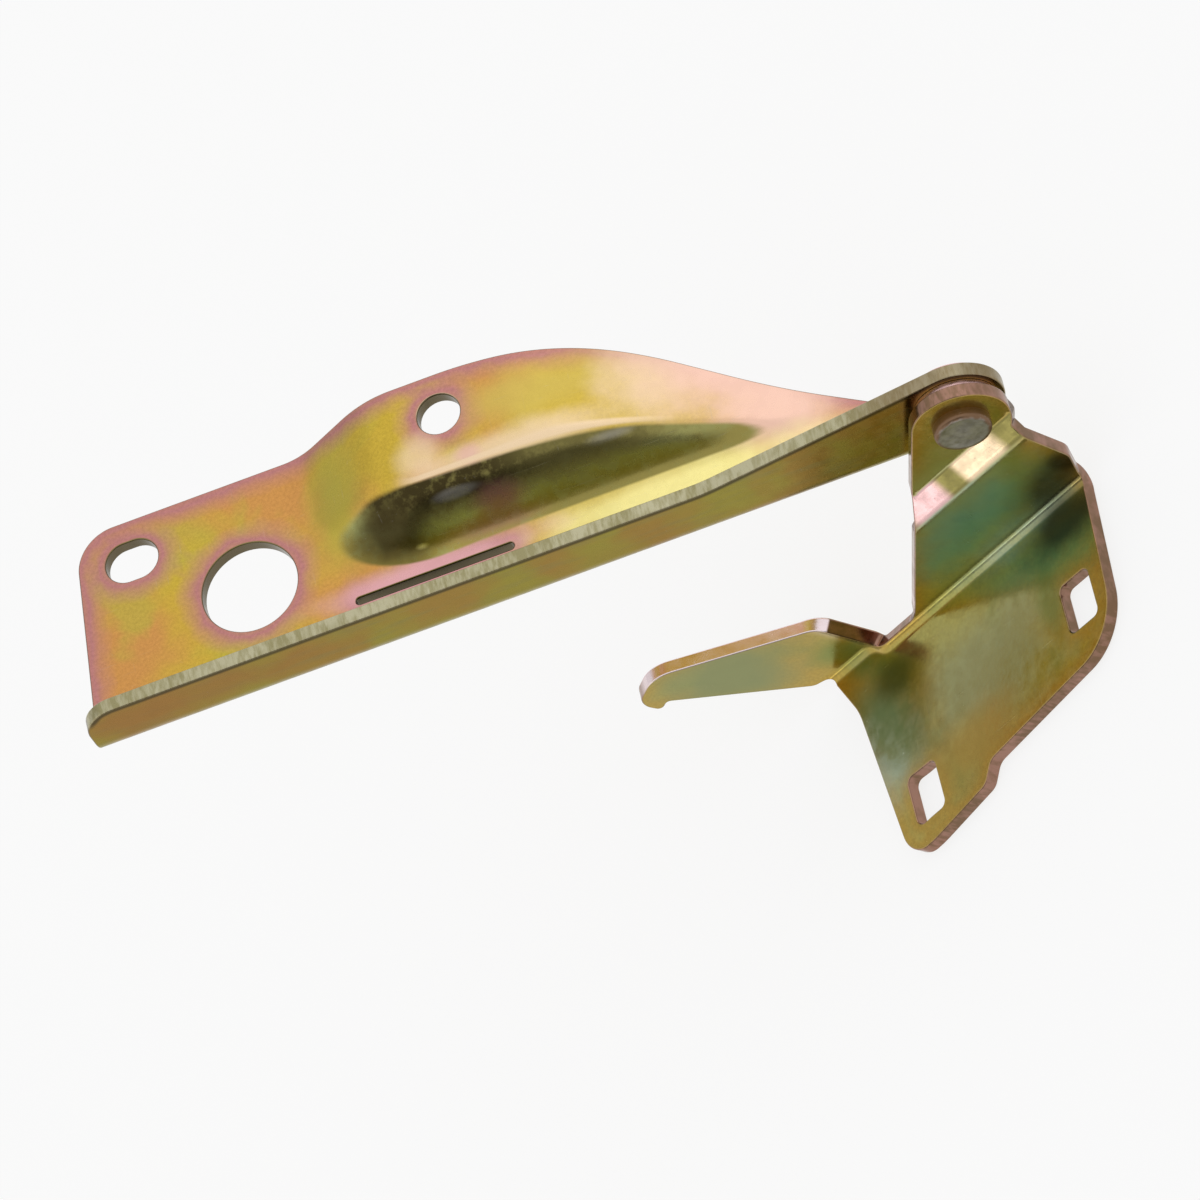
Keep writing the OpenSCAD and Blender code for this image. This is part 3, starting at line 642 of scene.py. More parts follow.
def bracket_mesh(s):
    """The bracket's sheet: from the pivot, the eye's front face and the body panel."""
    sheet, b = s.sheet, s.bracket
    point, turn, out, foot, (x0, x1) = bracket_surface(sheet, b)
    slope = math.radians(b.wall_slope)

    def up(z):
        return turn + z - out

    eye, high = sheet.eye, sheet.pivot_z
    foot_x = -eye * math.sin(slope) - (high + eye * math.cos(slope) - b.notch) / math.tan(slope)
    rear_x = b.slot_dx / 2 + b.rear_margin - sheet.pivot_x
    side_x = -b.slot_dx / 2 - b.side_margin - sheet.pivot_x
    root_x = side_x - b.root_reach
    tip_x = -b.finger_x - b.finger_reach
    tip_z = b.finger_edge + (b.finger_reach - b.tip_top) * math.tan(math.radians(b.finger_slope))
    rear_a = -math.acos(b.wall_rear / eye)
    arc = [(eye * math.cos(a), up(high + eye * math.sin(a)), 0)
           for a in np.linspace(rear_a, math.pi / 2 + slope, EAR_EYE_POINTS)]
    notch = turn * b.notch_turn
    upright = rounded([
        (rear_x + b.rear_lead, 0, 0),
        (rear_x + b.rear_lead + b.swell, up(out), b.swell_round),
        (b.wall_rear - b.waist_in, up(b.waist_height), b.waist_round),
        *arc,
        (foot_x, notch, b.notch_round),
        (-b.finger_x, notch, FINGER_ROUNDS[0]),
        (-b.finger_x, up(b.finger_edge), FINGER_ROUNDS[1]),
        (tip_x + b.tip_top, up(tip_z), TIP_ROUNDS[0]),
        (tip_x, up(tip_z - b.tip_drop), TIP_ROUNDS[1]),
        (tip_x + b.tip_back, up(tip_z - b.tip_depth), TIP_ROUNDS[2]),
        (tip_x + b.tip_hook, up(tip_z - b.tip_depth + b.hook_rise), TIP_ROUNDS[3]),
        (root_x - b.root_run, up(out), b.root_round),
        (root_x, up(out - b.root_drop), b.root_round),
        (root_x, 0, 0),
    ], closed=False)
    front_y = b.slot_dy / 2 - b.front_margin - sheet.pivot_y
    nose_y = -b.slot_dy / 2 - b.nose_margin - sheet.pivot_y
    fold_y = -b.step - sheet.fold
    flange = rounded([
        (root_x, float(foot(root_x)), 0),
        (root_x + b.root_bend_x, fold_y - b.root_bend_y, b.root_bend_round),
        (side_x, nose_y, b.nose_round),
        (-b.nose_step_x, front_y - b.nose_step_y - b.nose_step_depth, b.nose_step_round),
        (b.nose_step_run - b.nose_step_x, front_y - b.nose_step_y, b.nose_step_round),
        (rear_x, front_y + b.front_lead, b.rear_round),
        (rear_x + b.rear_lead, float(foot(rear_x)), 0),
    ], closed=False)

    def developed(loop):
        return np.stack([loop[:, 0], loop[:, 1] - foot(loop[:, 0])], 1)

    outer = densify(np.concatenate([upright[:-1], developed(flange)[:-1]]), SPACING)
    holes = [circle(0, up(high), sheet.shank)]
    for side in (-1, 1):
        x, y = side * b.slot_dx / 2 - sheet.pivot_x, side * b.slot_dy / 2 - sheet.pivot_y
        holes.append(developed(box_hole(x, y, b.slot_width, b.slot_length, b.slot_round)))
    # Grid lines, closer together on the sway, the fold and the step.
    sway, low = (x0 - 1, x1 + 1), high - b.step_top - b.step_height
    step = up(low - 3), up(low + b.step_height + 3)
    us = stations((tip_x, sway[0], 1.6), (*sway, 0.6), (sway[1], eye, 1.6))
    vs = stations((nose_y + 4, -SLACK, 2.2), (0, turn, turn / FOLD_STEPS),
                  (turn + 0.7, step[0], 1.5), (*step, 0.6), (step[1], up(high + eye), 1.6))
    return Sheet(point, sheet.sheet, sheet.edge).build("body_bracket_sheet", outer, holes, us, vs)


def pivot_point(sheet, behind=0.0):
    """The pivot axis at the front of the bracket's eye, or some way behind it, in metres."""
    return Vector((sheet.pivot_x, sheet.pivot_y + behind, sheet.pivot_z)) * MM


def arm_matrix(s):
    """The arm's own axes in the hinge's frame."""
    at = Matrix.Translation(pivot_point(s.sheet, s.arm.stand_off))
    return at @ Matrix.Rotation(math.radians(s.arm.tilt), 4, "Y")


def show(mesh, name, material):
    """A new object of the mesh."""
    obj = bpy.data.objects.new(name, mesh)
    bpy.context.scene.collection.objects.link(obj)
    mesh.materials.clear()
    mesh.materials.append(material)
    return obj


def lathe(name, profile, spokes=96, sharp=40):
    """A closed mesh turned about Y from (radius, y) points, in millimetres."""
    verts, faces, n = [], [], len(profile)
    turn = [2 * math.pi * k / spokes for k in range(spokes)]
    for r, y in profile:
        verts += [(r * math.cos(a), y, r * math.sin(a)) for a in turn]
    for i in range(n - 1):
        here, there = i * spokes, (i + 1) * spokes
        for k in range(spokes):
            j = (k + 1) % spokes
            faces.append((here + k, here + j, there + j, there + k))
    faces.append(tuple(range(spokes))[::-1])
    faces.append(tuple(range((n - 1) * spokes, n * spokes)))
    mesh = bpy.data.meshes.new(name)
    mesh.from_pydata([tuple(x * MM for x in v) for v in verts], [], faces)
    note(mesh, "place", verts)
    shape = bmesh.new()
    shape.from_mesh(mesh)
    bmesh.ops.recalc_face_normals(shape, faces=shape.faces)
    shape.to_mesh(mesh)
    shape.free()
    mesh.polygons.foreach_set("use_smooth", [True] * len(mesh.polygons))
    mesh.set_sharp_from_angle(angle=math.radians(sharp))
    return mesh


def rivet_mesh(sheet, pivot):
    """The rivet: a flattened front head with a burr, the shank and a domed rear head."""
    r, h = pivot.head / 2, pivot.head_height
    dish = [(0.3, 0.12), (2.0, 0.14), (3.6, 0.1)]
    burr = [(r - 1.3, 0.03), (r - 0.9, 0.0), (r - 0.55, 0.05)]
    side = [(r - 0.25, 0.22), (r - 0.06, 0.5), (r, 0.85), (r, h)]
    front = [(x, y - h) for x, y in dish + burr + side]
    tail, grip, lip = pivot.tail / 2, pivot.tail_front, 0.5
    dome = [(tail * math.cos(a), grip + lip + (pivot.tail_height - lip) * math.sin(a))
            for a in np.linspace(0, math.pi / 2 - 0.06, 12)]
    shank = [(sheet.shank, 0), (sheet.shank, grip), (tail, grip)]
    return lathe("pivot_rivet_body", front + shank + dome)


class Graph:
    """A short way to add and join shader nodes in one tree."""

    def __init__(self, tree):
        self.tree = tree

    def add(self, kind, inputs=None, **choices):
        node = self.tree.nodes.new(kind)
        for key, value in choices.items():
            setattr(node, key, value)
        for key, value in (inputs or {}).items():
            self.feed(node.inputs[key], value)
        return node

    def feed(self, socket, value):
        if isinstance(value, bpy.types.NodeSocket):
            self.tree.links.new(value, socket)
        elif socket.type == "RGBA" and len(value) == 3:
            socket.default_value = (*value, 1)
        else:
            socket.default_value = value

    def math(self, operation, *values):
        return self.add("ShaderNodeMath", dict(enumerate(values)), operation=operation).outputs[0]

    def times(self, *values):
        """The product of several masks."""
        out = values[0]
        for value in values[1:]:
            out = self.math("MULTIPLY", out, value)
        return out

    def vector(self, operation, *values):
        node = self.add("ShaderNodeVectorMath", dict(enumerate(values)), operation=operation)
        return node.outputs["Value" if operation == "LENGTH" else "Vector"]

    def mix(self, share, first, second, blend="MIX"):
        node = self.add("ShaderNodeMix", data_type="RGBA", blend_type=blend, clamp_factor=True)
        for index, value in ((0, share), (6, first), (7, second)):
            self.feed(node.inputs[index], value)
        return node.outputs[2]

    def lay(self, colour, tint, mask, strength=1.0):
        """The colour with a tint laid over it where the mask is."""
        if strength != 1.0:
            mask = self.math("MULTIPLY", mask, strength)
        return self.mix(mask, colour, tint)

    def span(self, value, low, high, start=0.0, end=1.0):
        """A smooth step of the value between low and high."""
        found = {"Value": value, "From Min": low, "From Max": high, "To Min": start,
                 "To Max": end}
        node = self.add("ShaderNodeMapRange", found, interpolation_type="SMOOTHSTEP")
        return node.outputs["Result"]

    def fade(self, value, low, high):
        """A smooth step down, from 1 at low to 0 at high."""
        return self.span(value, low, high, 1.0, 0.0)

    def noise(self, place, scale, detail=2.0, rough=0.5, swirl=0.0):
        """Cloudy noise, with its scale in turns per unit of the place."""
        found = {"Vector": place, "Scale": scale, "Detail": detail, "Roughness": rough,
                 "Distortion": swirl}
        return self.add("ShaderNodeTexNoise", found).outputs["Fac"]

    def ramp(self, value, stops):
        node = self.add("ShaderNodeValToRGB", {"Fac": value})
        marks = node.color_ramp.elements
        for mark, (at, colour) in zip((marks[0], marks[1]), (stops[0], stops[-1])):
            mark.position, mark.color = at, (*colour, 1)
        for at, colour in stops[1:-1]:
            marks.new(at).color = (*colour, 1)
        return node.outputs["Color"]

    def read(self, key, kind="Fac"):
        """An attribute of the mesh."""
        return self.add("ShaderNodeAttribute", attribute_name=key).outputs[kind]

    def use(self, tree, **inputs):
        """A node group with its inputs."""
        return self.add("ShaderNodeGroup", inputs, node_tree=tree).outputs


VECTOR, FLOAT, COLOUR = "NodeSocketVector", "NodeSocketFloat", "NodeSocketColor"

# Soft patches of film, painted highlight, painted dark reflection and painted shadow: centre and
# reach in millimetres, tint and strength. The arm's are in its own axes from the pivot. The
# bracket's are from the pivot along and across, and from the body panel up.
ARM_FILM = {
    "seat top": ((-80, 38, 0), (23, 9, 8), "lemon", 0.8),
    "ramp": ((-127, 32, -8), (10, 18, 9), "olive", 0.85),
    # Painted highlight at the start of the slope, along the crest and at the seat's corner.
    "slope start": ((-58, 33, -3), (15, 15, 12), "cream_highlight", 0.7),
    "crest": ((-88, 27.5, 0), (30, 6, 5), "cream_highlight", 0.75),
    "seat corner": ((-107, 32, 0), (7, 7, 5), "cream_highlight", 0.6),
    "crest tinge": ((-97, 29, 0), (4, 4, 4), "orchid", 0.5),
    # Pink film brightened as painted highlight on the long slope.
    "long slope": ((-41, 35, -7), (29, 24, 16), "blush", 0.95),
    "slope foot": ((-36, 20, -10), (18, 14, 8), "blush", 0.95),
    # Painted highlight in the channel between web and seat.
    "channel": ((-60, 12, -11), (44, 7, 6), "straw", 0.95),
    "slot border": ((-112, 13.5, -11), (32, 5, 5), "orchid", 0.85),
}
# Patches inside the painted dark reflection on the seat's front wall: its darkest end by the ramp,
# a purple patch, pale streaks near the top and bright flecks at the foot.
ARM_WALL = {
    "ramp end": ((-118, 21, -6), (16, 11, 11), "painted_shade", 0.95),
    "purple": ((-94, 20, -6), (7, 5, 5), "plum", 0.8),
    "purple foot": ((-97, 17, -9), (14, 3.5, 3.5), "plum", 0.6),
    "near pale streak": ((-102, 23, -3), (6, 1.4, 1.7), "worn", 0.4),
    "far pale streak": ((-67, 23, -2.5), (8, 1.6, 1.8), "worn", 0.4),
    "long bright fleck": ((-112.5, 17.5, -9), (2.4, 1.0, 0.9), "straw", 0.9),
    "short bright fleck": ((-119.6, 18, -8.5), (1.5, 0.9, 0.8), "straw", 0.9),
}
ARM_WEB = {
    "free end": ((-168, 0, -4), (44, 6, 8), "rust", 0.7),
    "middle": ((-66, 0, -9), (20, 6, 7), "rust", 0.2),
}
ARM_CUT = {
    # Painted shadow on the cut edges in the relief slot.
    "relief slot": ((-111.5, 11, -12), (26, 5, 5), "painted_shade", 0.9),
    "eye": ((0, 1.5, 4), (26, 8, 14), "browned", 0.6),
}
BRACKET_FILM = {
    "ear": ((-16, -2, 24), (30, 6, 16), "ear", 0.9),
    # Blue-green film with painted reflection laid in.
    "ear middle": ((-21, -4.5, 14), (31, 4.8, 16), "teal", 0.95),
    # Painted dark reflection at the ear's rear edge.
    "ear rear": ((1, -3, 11), (3.5, 4, 5), "painted_shade", 0.6),
    "finger": ((-87, 0, 25), (22, 8, 20), "sage", 0.95),
    "finger foot": ((-72, -1, 8), (9, 6, 8), "moss", 0.85),
    "flange middle": ((-40, -24, 3), (34, 18, 8), "pewter", 0.8),
    "flange nose": ((-70, -20, 3), (12, 20, 6), "slate", 0.8),
    # Painted dark reflection on the flange below the notch.
    "below the notch": ((-63, -10, 3), (10, 7, 4), "deep", 0.85),
    "green band": ((-19, -22, 3), (5, 11, 3), "moss", 0.7),
    "front edge": ((-48, -36, 3), (18, 9, 3), "bronze", 0.7),
    # Painted dark reflection of the ear in the flange below it.
    "below the ear": ((-9, -8, 3), (18, 8, 3), "painted_shade", 0.9),
}
# Soft start and end of each zone: places in the same millimetres, leans as a share of the normal.
ARM_AT = SimpleNamespace(
    plate_y=(7, 9), web_y=(1, 3), inner_y=(3.5, 5), top_y=(4, 5), top_z=(-4, -2),
    web_lean=(0.6, 0.9), inner_lean=(-0.9, -0.6), arris_rim=(0.7, 1.5), arris_z=(-4, -1.5),
    # The crest spans pick the painted crest highlight; the wall spans and dull_x pick the painted
    # dark reflection on the seat's wall.
    crest_lean=(0.04, 0.16), crest_end=(0.26, 0.36), crest_z=(-6, -1.5), crest_x=(-114, -106),
    wall_x=(-116, -88), wall_lean=(0.24, 0.34), wall_z=(-10.5, -2.0), dull_x=(-96, -80),
)
WALL_BLEND = 0.14
# The step and facet spans place the painted reflection on the step; the finger spans place the
# painted highlight on its top edge.
BRACKET_AT = SimpleNamespace(
    step_up=(0.2, 0.4), step_foot=(22, 24), step_top=(30, 31),
    front_start=(-30, -26), front_end=(-19, -16), rear_start=(-13, -10.5), rear_end=(-2, 1.5),
    finger_up=(0.2, 0.55), finger_z=(5, 8), finger_tip=(-102, -96), finger_end=(-52, -46),
)
RIVET_RIM = 4.6, 5.5
WASHER_RIM = 2.0
FINE_RELIEF, COARSE_RELIEF, RELIEF_STRENGTH = 0.06 * MM, 0.2 * MM, 0.35


def group(name, inputs, outputs, wire):
    """A node group that is built once. wire(graph, inputs) returns its outputs by name."""
    if name in bpy.data.node_groups:
        return bpy.data.node_groups[name]
    tree = bpy.data.node_groups.new(name, "ShaderNodeTree")
    for way, sockets in (("INPUT", inputs), ("OUTPUT", outputs)):
        for label, kind in sockets.items():
            tree.interface.new_socket(name=label, in_out=way, socket_type=kind)
    graph = Graph(tree)
    entry, leave = graph.add("NodeGroupInput"), graph.add("NodeGroupOutput")
    for label, value in wire(graph, entry.outputs).items():
        graph.feed(leave.inputs[label], value)
    return tree


def film_group():
    """The iridescent film of yellow passivated zinc, with a rose halo along every edge."""
    def wire(g, i):
        place = i["Place"]
        warm = g.span(g.noise(place, 0.034, 3), 0.45, 0.66)
        aside = g.vector("ADD", place, (60, 20, 90))
        green = g.span(g.noise(aside, 0.05, 3, swirl=0.6), 0.50, 0.70)
        colour = g.lay(i["Gold"], i["Amber"], warm)
        colour = g.lay(colour, i["Olive"], green, 0.65)
        wander = g.math("MULTIPLY_ADD", g.noise(place, 0.16, 3), 3.4, -1.7)
        depth = g.math("DIVIDE", g.math("ADD", i["Rim"], wander), i["Halo"])
        stops = ((0.0, 0.85), (0.2, 1.0), (0.5, 0.5), (1.0, 0.0))
        halo = g.ramp(depth, [(at, (level,) * 3) for at, level in stops])
        colour = g.lay(colour, i["Rose"], halo)
        grain = g.span(g.noise(place, 1.5, 3, 0.6), 0.25, 0.75, 0.90, 1.09)
        bright = g.add("ShaderNodeCombineXYZ", {0: grain, 1: grain, 2: grain}).outputs[0]
        return {"Color": g.mix(1.0, colour, bright, "MULTIPLY")}

    inputs = {"Place": VECTOR, "Rim": FLOAT, "Halo": FLOAT}
    inputs.update(dict.fromkeys(("Gold", "Amber", "Olive", "Rose"), COLOUR))
    return group("Passivated film", inputs, {"Color": COLOUR}, wire)


def marks_group():
    """Fine scratches and small pits left by handling."""
    def wire(g, i):
        along = g.noise(g.vector("MULTIPLY", i["Place"], (0.07, 1.7, 1.7)), 1.0, 2)
        across = g.noise(g.vector("MULTIPLY", i["Place"], (1.3, 0.10, 0.5)), 1.0, 2)
        pits = g.noise(i["Place"], 0.8, 4, 0.65)
        lines = g.math("MAXIMUM", g.span(along, 0.68, 0.76), g.span(across, 0.70, 0.78))
        mask = g.math("MAXIMUM", g.times(lines, 0.7), g.span(pits, 0.66, 0.76))
        return {"Mask": g.times(mask, i["Amount"])}

    return group("Handling marks", {"Place": VECTOR, "Amount": FLOAT}, {"Mask": FLOAT}, wire)


def shear_group():
    """A sheared edge with the marks of the blade across it."""
    def wire(g, i):
        teeth = g.noise(g.vector("MULTIPLY", i["Place"], (1.15, 0.25, 0.3)), 1.0, 3, 0.6)
        slow = g.noise(i["Place"], 0.06, 2)
        pale = g.math("ADD", g.span(teeth, 0.3, 0.7), g.span(slow, 0.35, 0.65, -0.35, 0.35))
        return {"Color": g.lay(i["Dark"], i["Pale"], pale)}

    inputs = {"Place": VECTOR, "Pale": COLOUR, "Dark": COLOUR}
    return group("Sheared edge", inputs, {"Color": COLOUR}, wire)


def zone_group():
    """A soft, ragged patch round a centre."""
    def wire(g, i):
        off = g.vector("DIVIDE", g.vector("SUBTRACT", i["Place"], i["Centre"]), i["Reach"])
        ragged = g.math("MULTIPLY_ADD", g.noise(i["Place"], 0.11, 3), 0.6, -0.3)
        return {"Mask": g.fade(g.math("ADD", g.vector("LENGTH", off), ragged), 0.2, 1.05)}

    inputs = dict.fromkeys(("Place", "Centre", "Reach"), VECTOR)
    return group("Soft patch", inputs, {"Mask": FLOAT}, wire)


def satin_group():
    """Uneven gloss and fine relief of a metal face, dulled and dented by its marks."""
    def wire(g, i):
        place, marks = i["Place"], i["Marks"]
        satin = g.span(g.noise(place, 0.3, 4, 0.6), 0.3, 0.7, i["Smooth"], i["Rough"])
        relief = g.math("MULTIPLY_ADD", g.noise(place, 1.1, 3), 0.5, g.noise(place, 0.12, 2))
        return {"Roughness": g.math("MULTIPLY_ADD", marks, 0.15, satin),
                "Height": g.math("SUBTRACT", relief, g.times(marks, 0.5))}

    inputs = {"Place": VECTOR, "Marks": FLOAT, "Smooth": FLOAT, "Rough": FLOAT}
    return group("Satin surface", inputs, {"Roughness": FLOAT, "Height": FLOAT}, wire)


def new_metal(name):
    """A material whose shader is plain metal, with its graph."""
    material = bpy.data.materials.new(name)
    material.use_nodes = True
    shader = material.node_tree.nodes["Principled BSDF"]
    shader.inputs["Metallic"].default_value = 1.0
    return material, Graph(material.node_tree), shader


def sheet_facts(g):
    """A point's place, its place and normal split by axis, its way to the rim, and cut edges."""
    place = g.read("place", "Vector")
    at = g.add("ShaderNodeSeparateXYZ", {0: place}).outputs
    facing = g.add("ShaderNodeSeparateXYZ", {0: g.read("facing", "Vector")}).outputs
    return place, at, facing, g.read("rim"), g.read("cut")


def patches(g, colour, place, tone, zones):
    """The colour with soft patches laid over it."""
    for name, (centre, reach, patch, strength) in zones.items():
        mask = g.use(zone_group(), Place=place, Centre=centre, Reach=reach)["Mask"]
        mask.node.label = name
        colour = g.lay(colour, getattr(tone, patch), mask, strength)
    return colour


def handled(g, colour, place, tone, strength):
    """The colour with handling marks, and their mask."""
    marks = g.use(marks_group(), Place=place, Amount=tone.marks)["Mask"]
    return g.lay(colour, tone.worn, marks, strength), marks


def finish_surface(g, shader, place, colour, marks, gloss, depth=FINE_RELIEF):
    """Colour, roughness between both ends of the gloss, and fine relief of a face."""
    smooth, rough = gloss
    satin = g.use(satin_group(), Place=place, Marks=marks, Smooth=smooth, Rough=rough)
    relief = {"Height": satin["Height"], "Strength": RELIEF_STRENGTH, "Distance": depth}
    bump = g.add("ShaderNodeBump", relief)
    g.feed(shader.inputs["Base Color"], colour)
    g.feed(shader.inputs["Roughness"], satin["Roughness"])
    g.feed(shader.inputs["Normal"], bump.outputs["Normal"])


def wall_reflection(g, place, at, tone):
    """The seat's front wall as a painted dark reflection: olive at its foot, darkest towards its
    crest.
    """
    mottle = g.math("SUBTRACT", g.noise(place, 0.30, 5, 0.7), 0.5)
    height = g.math("ADD", g.span(at["Z"], *ARM_AT.wall_z), mottle)
    colour = g.ramp(height, [(0.0, tone.wall_foot), (0.35, tone.wall), (0.75, tone.patina_and_shade),
                             (1.0, tone.painted_shade)])
    colour = g.lay(colour, tone.patina_and_shade, g.span(at["X"], *ARM_AT.dull_x), 0.6)
    return patches(g, colour, place, tone, ARM_WALL)


def web_film_and_shade(g, place, at, rim, tone):
    """The web's outer face: streaky, brown towards the free end, darkened as painted reflection,
    with painted shade under its top edge.
    """
    colour = g.lay(tone.web, tone.web_green, g.span(g.noise(place, 0.05, 3), 0.4, 0.6))
    streak = g.noise(g.vector("MULTIPLY", place, (0.06, 0.5, 0.5)), 1.0, 3)
    colour = g.lay(colour, tone.patina_and_shade, g.span(streak, 0.45, 0.75), 0.5)
    colour = patches(g, colour, place, tone, ARM_WEB)
    # Painted shade under the web's top edge.
    top_edge_shade = g.times(g.fade(rim, *ARM_AT.arris_rim), g.span(at["Z"], *ARM_AT.arris_z))
    return g.lay(colour, tone.painted_shade, top_edge_shade, 0.85)


def arm_zinc(tone):
    """The arm's finish: gold plate, the seat's wall dark as painted reflection, the slope and
    crest bright as painted highlight, and pale sheared edge.
    """
    material, g, shader = new_metal("arm_zinc")
    place, at, facing, rim, cut = sheet_facts(g)
    lean = g.times(facing["Y"], -1.0)
    plate = g.span(at["Y"], *ARM_AT.plate_y)
    film = g.use(film_group(), Place=place, Rim=rim, Halo=tone.halo, Gold=tone.gold,
                 Amber=tone.amber, Olive=tone.olive, Rose=tone.rose)
    colour = patches(g, film["Color"], place, tone, ARM_FILM)
    inner = g.times(g.fade(lean, *ARM_AT.inner_lean), g.fade(at["Y"], *ARM_AT.inner_y))
    colour = g.lay(colour, tone.wall, inner, 0.9)
    # Painted highlight along the seat's crest, where the face leans a little forward.
    crest = g.times(g.span(lean, *ARM_AT.crest_lean), g.fade(lean, *ARM_AT.crest_end), plate,
                    g.span(at["Z"], *ARM_AT.crest_z), g.span(at["X"], *ARM_AT.crest_x))
    colour = g.lay(colour, tone.cream_highlight, crest, 0.85)
    # Painted dark reflection on the seat's front wall, where the face leans well forward.
    start = g.span(at["X"], *ARM_AT.wall_x, *ARM_AT.wall_lean)
    wall = g.times(g.span(lean, start, g.math("ADD", start, WALL_BLEND)), plate)
    colour = g.lay(colour, wall_reflection(g, place, at, tone), wall)
    # The web's face: its own streaks, with painted dark reflection and painted shade under the top
    # edge.
    web = g.times(g.span(lean, *ARM_AT.web_lean), g.fade(at["Y"], *ARM_AT.web_y))
    colour = g.lay(colour, web_film_and_shade(g, place, at, rim, tone), web)
    colour, marks = handled(g, colour, place, tone, 0.3)
    # The web's sheared top edge, lighter than the other cut edges as painted highlight.
    pale = g.use(shear_group(), Place=place, Pale=tone.cut, Dark=tone.cut_dark)["Color"]
    top = g.times(g.span(at["Z"], *ARM_AT.top_z), g.fade(at["Y"], *ARM_AT.top_y))
    edge = patches(g, g.lay(tone.cut_brown, pale, top), place, tone, ARM_CUT)
    colour = g.lay(colour, edge, cut)
    finish_surface(g, shader, place, colour, marks, (0.20, 0.32))
    return material


def bracket_zinc(tone):
    """The bracket's finish: gold rims, grey-green middles, painted reflection on the step and rosy
    cut edges.
    """
    material, g, shader = new_metal("bracket_zinc")
    place, at, facing, rim, cut = sheet_facts(g)
    film = g.use(film_group(), Place=place, Rim=rim, Halo=tone.halo, Gold=tone.brass,
                 Amber=tone.bronze, Olive=tone.moss, Rose=tone.bronze)
    colour = patches(g, film["Color"], place, tone, BRACKET_FILM)
    # Painted reflection on the step: a pink highlight on its front facet, a cream highlight on its
    # rear facet and a dark gap between.
    step = g.times(g.span(facing["Z"], *BRACKET_AT.step_up),
                   g.span(at["Z"], *BRACKET_AT.step_foot), g.fade(at["Z"], *BRACKET_AT.step_top))
    front = g.times(g.span(at["X"], *BRACKET_AT.front_start),
                    g.fade(at["X"], *BRACKET_AT.front_end))
    rear = g.times(g.span(at["X"], *BRACKET_AT.rear_start), g.fade(at["X"], *BRACKET_AT.rear_end))
    step_reflection = g.lay(g.lay(tone.patina_and_shade, tone.pink, front), tone.cream_highlight, rear)
    colour, marks = handled(g, g.lay(colour, step_reflection, step), place, tone, 0.25)
    edge = g.use(shear_group(), Place=place, Pale=tone.cut_rose, Dark=tone.browned)["Color"]
    # Painted highlight on the finger's sheared top edge, where it faces up.
    finger = g.times(g.span(facing["Z"], *BRACKET_AT.finger_up),
                     g.span(at["Z"], *BRACKET_AT.finger_z),
                     g.span(at["X"], *BRACKET_AT.finger_tip),
                     g.fade(at["X"], *BRACKET_AT.finger_end))
    colour = g.lay(colour, g.lay(edge, tone.cut_pale, finger), cut)
    finish_surface(g, shader, place, colour, marks, (0.14, 0.26))
    return material


def rivet_steel(tone):
    """Bare steel, flattened by the press, with a browned rim."""
    material, g, shader = new_metal("rivet_steel")
    place = g.read("place", "Vector")
    radius = g.vector("LENGTH", g.vector("MULTIPLY", place, (1, 0, 1)))
    blotch = g.span(g.noise(place, 0.45, 4, 0.6), 0.35, 0.65)
    colour = g.lay(tone.bare, tone.bare_dark, blotch)
    wander = g.math("MULTIPLY_ADD", g.noise(place, 0.6, 2), 1.2, -0.6)
    rim = g.span(g.math("ADD", radius, wander), *RIVET_RIM)
    colour = g.lay(colour, tone.browned, rim)
    colour, marks = handled(g, colour, place, tone, 0.5)
    finish_surface(g, shader, place, colour, marks, (0.30, 0.45), COARSE_RELIEF)
    return material


def washer_zinc(tone):
    """The washers' finish, rosier than the bracket's."""
    material, g, shader = new_metal("washer_zinc")
    place = g.vector("SCALE", g.add("ShaderNodeTexCoord").outputs["Object"])
    place.node.inputs["Scale"].default_value = 1 / MM
    film = g.use(film_group(), Place=place, Rim=WASHER_RIM, Halo=tone.halo, Gold=tone.pink,
                 Amber=tone.cut_rose, Olive=tone.bronze, Rose=tone.pink)
    colour, marks = handled(g, film["Color"], place, tone, 0.3)
    finish_surface(g, shader, place, colour, marks, (0.2, 0.34))
    return material


class HINGE_OT_arm(Operator):
    """Presses the arm with its web, raised seat and holes"""
    bl_idname = "hinge.arm"
    bl_label = "Bonnet arm"

    def execute(self, context):
        s = settings()
        obj = show(arm_mesh(s), "arm_sheet", arm_zinc(s.finish))
        obj.data.transform(arm_matrix(s))
        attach(obj, "arm")
        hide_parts("bonnet_arm")
        return {"FINISHED"}


class HINGE_OT_bracket(Operator):
    """Presses the bracket with its flange, stepped ear and finger"""
    bl_idname = "hinge.bracket"
    bl_label = "Body bracket"

    def execute(self, context):
        s = settings()
        obj = show(bracket_mesh(s), "bracket_sheet", bracket_zinc(s.finish))
        foot = Vector((s.sheet.pivot_x, s.sheet.pivot_y, 0)) * MM
        obj.data.transform(Matrix.Translation(foot))
        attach(obj, "bracket")
        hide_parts("body_bracket")
        return {"FINISHED"}


class HINGE_OT_pivot(Operator):
    """Turns the rivet and finishes the washers"""
    bl_idname = "hinge.pivot"
    bl_label = "Pivot rivet and washers"

    def execute(self, context):
        s = settings()
        obj = show(rivet_mesh(s.sheet, s.pivot), "rivet", rivet_steel(s.finish))
        obj.data.transform(Matrix.Translation(pivot_point(s.sheet)))
        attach(obj, "bracket")
        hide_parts("pivot_rivet")
        washer = washer_zinc(s.finish)
        for name in ("spacer_washer", "backing_washer"):
            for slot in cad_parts[name].material_slots:
                slot.material = washer
        return {"FINISHED"}


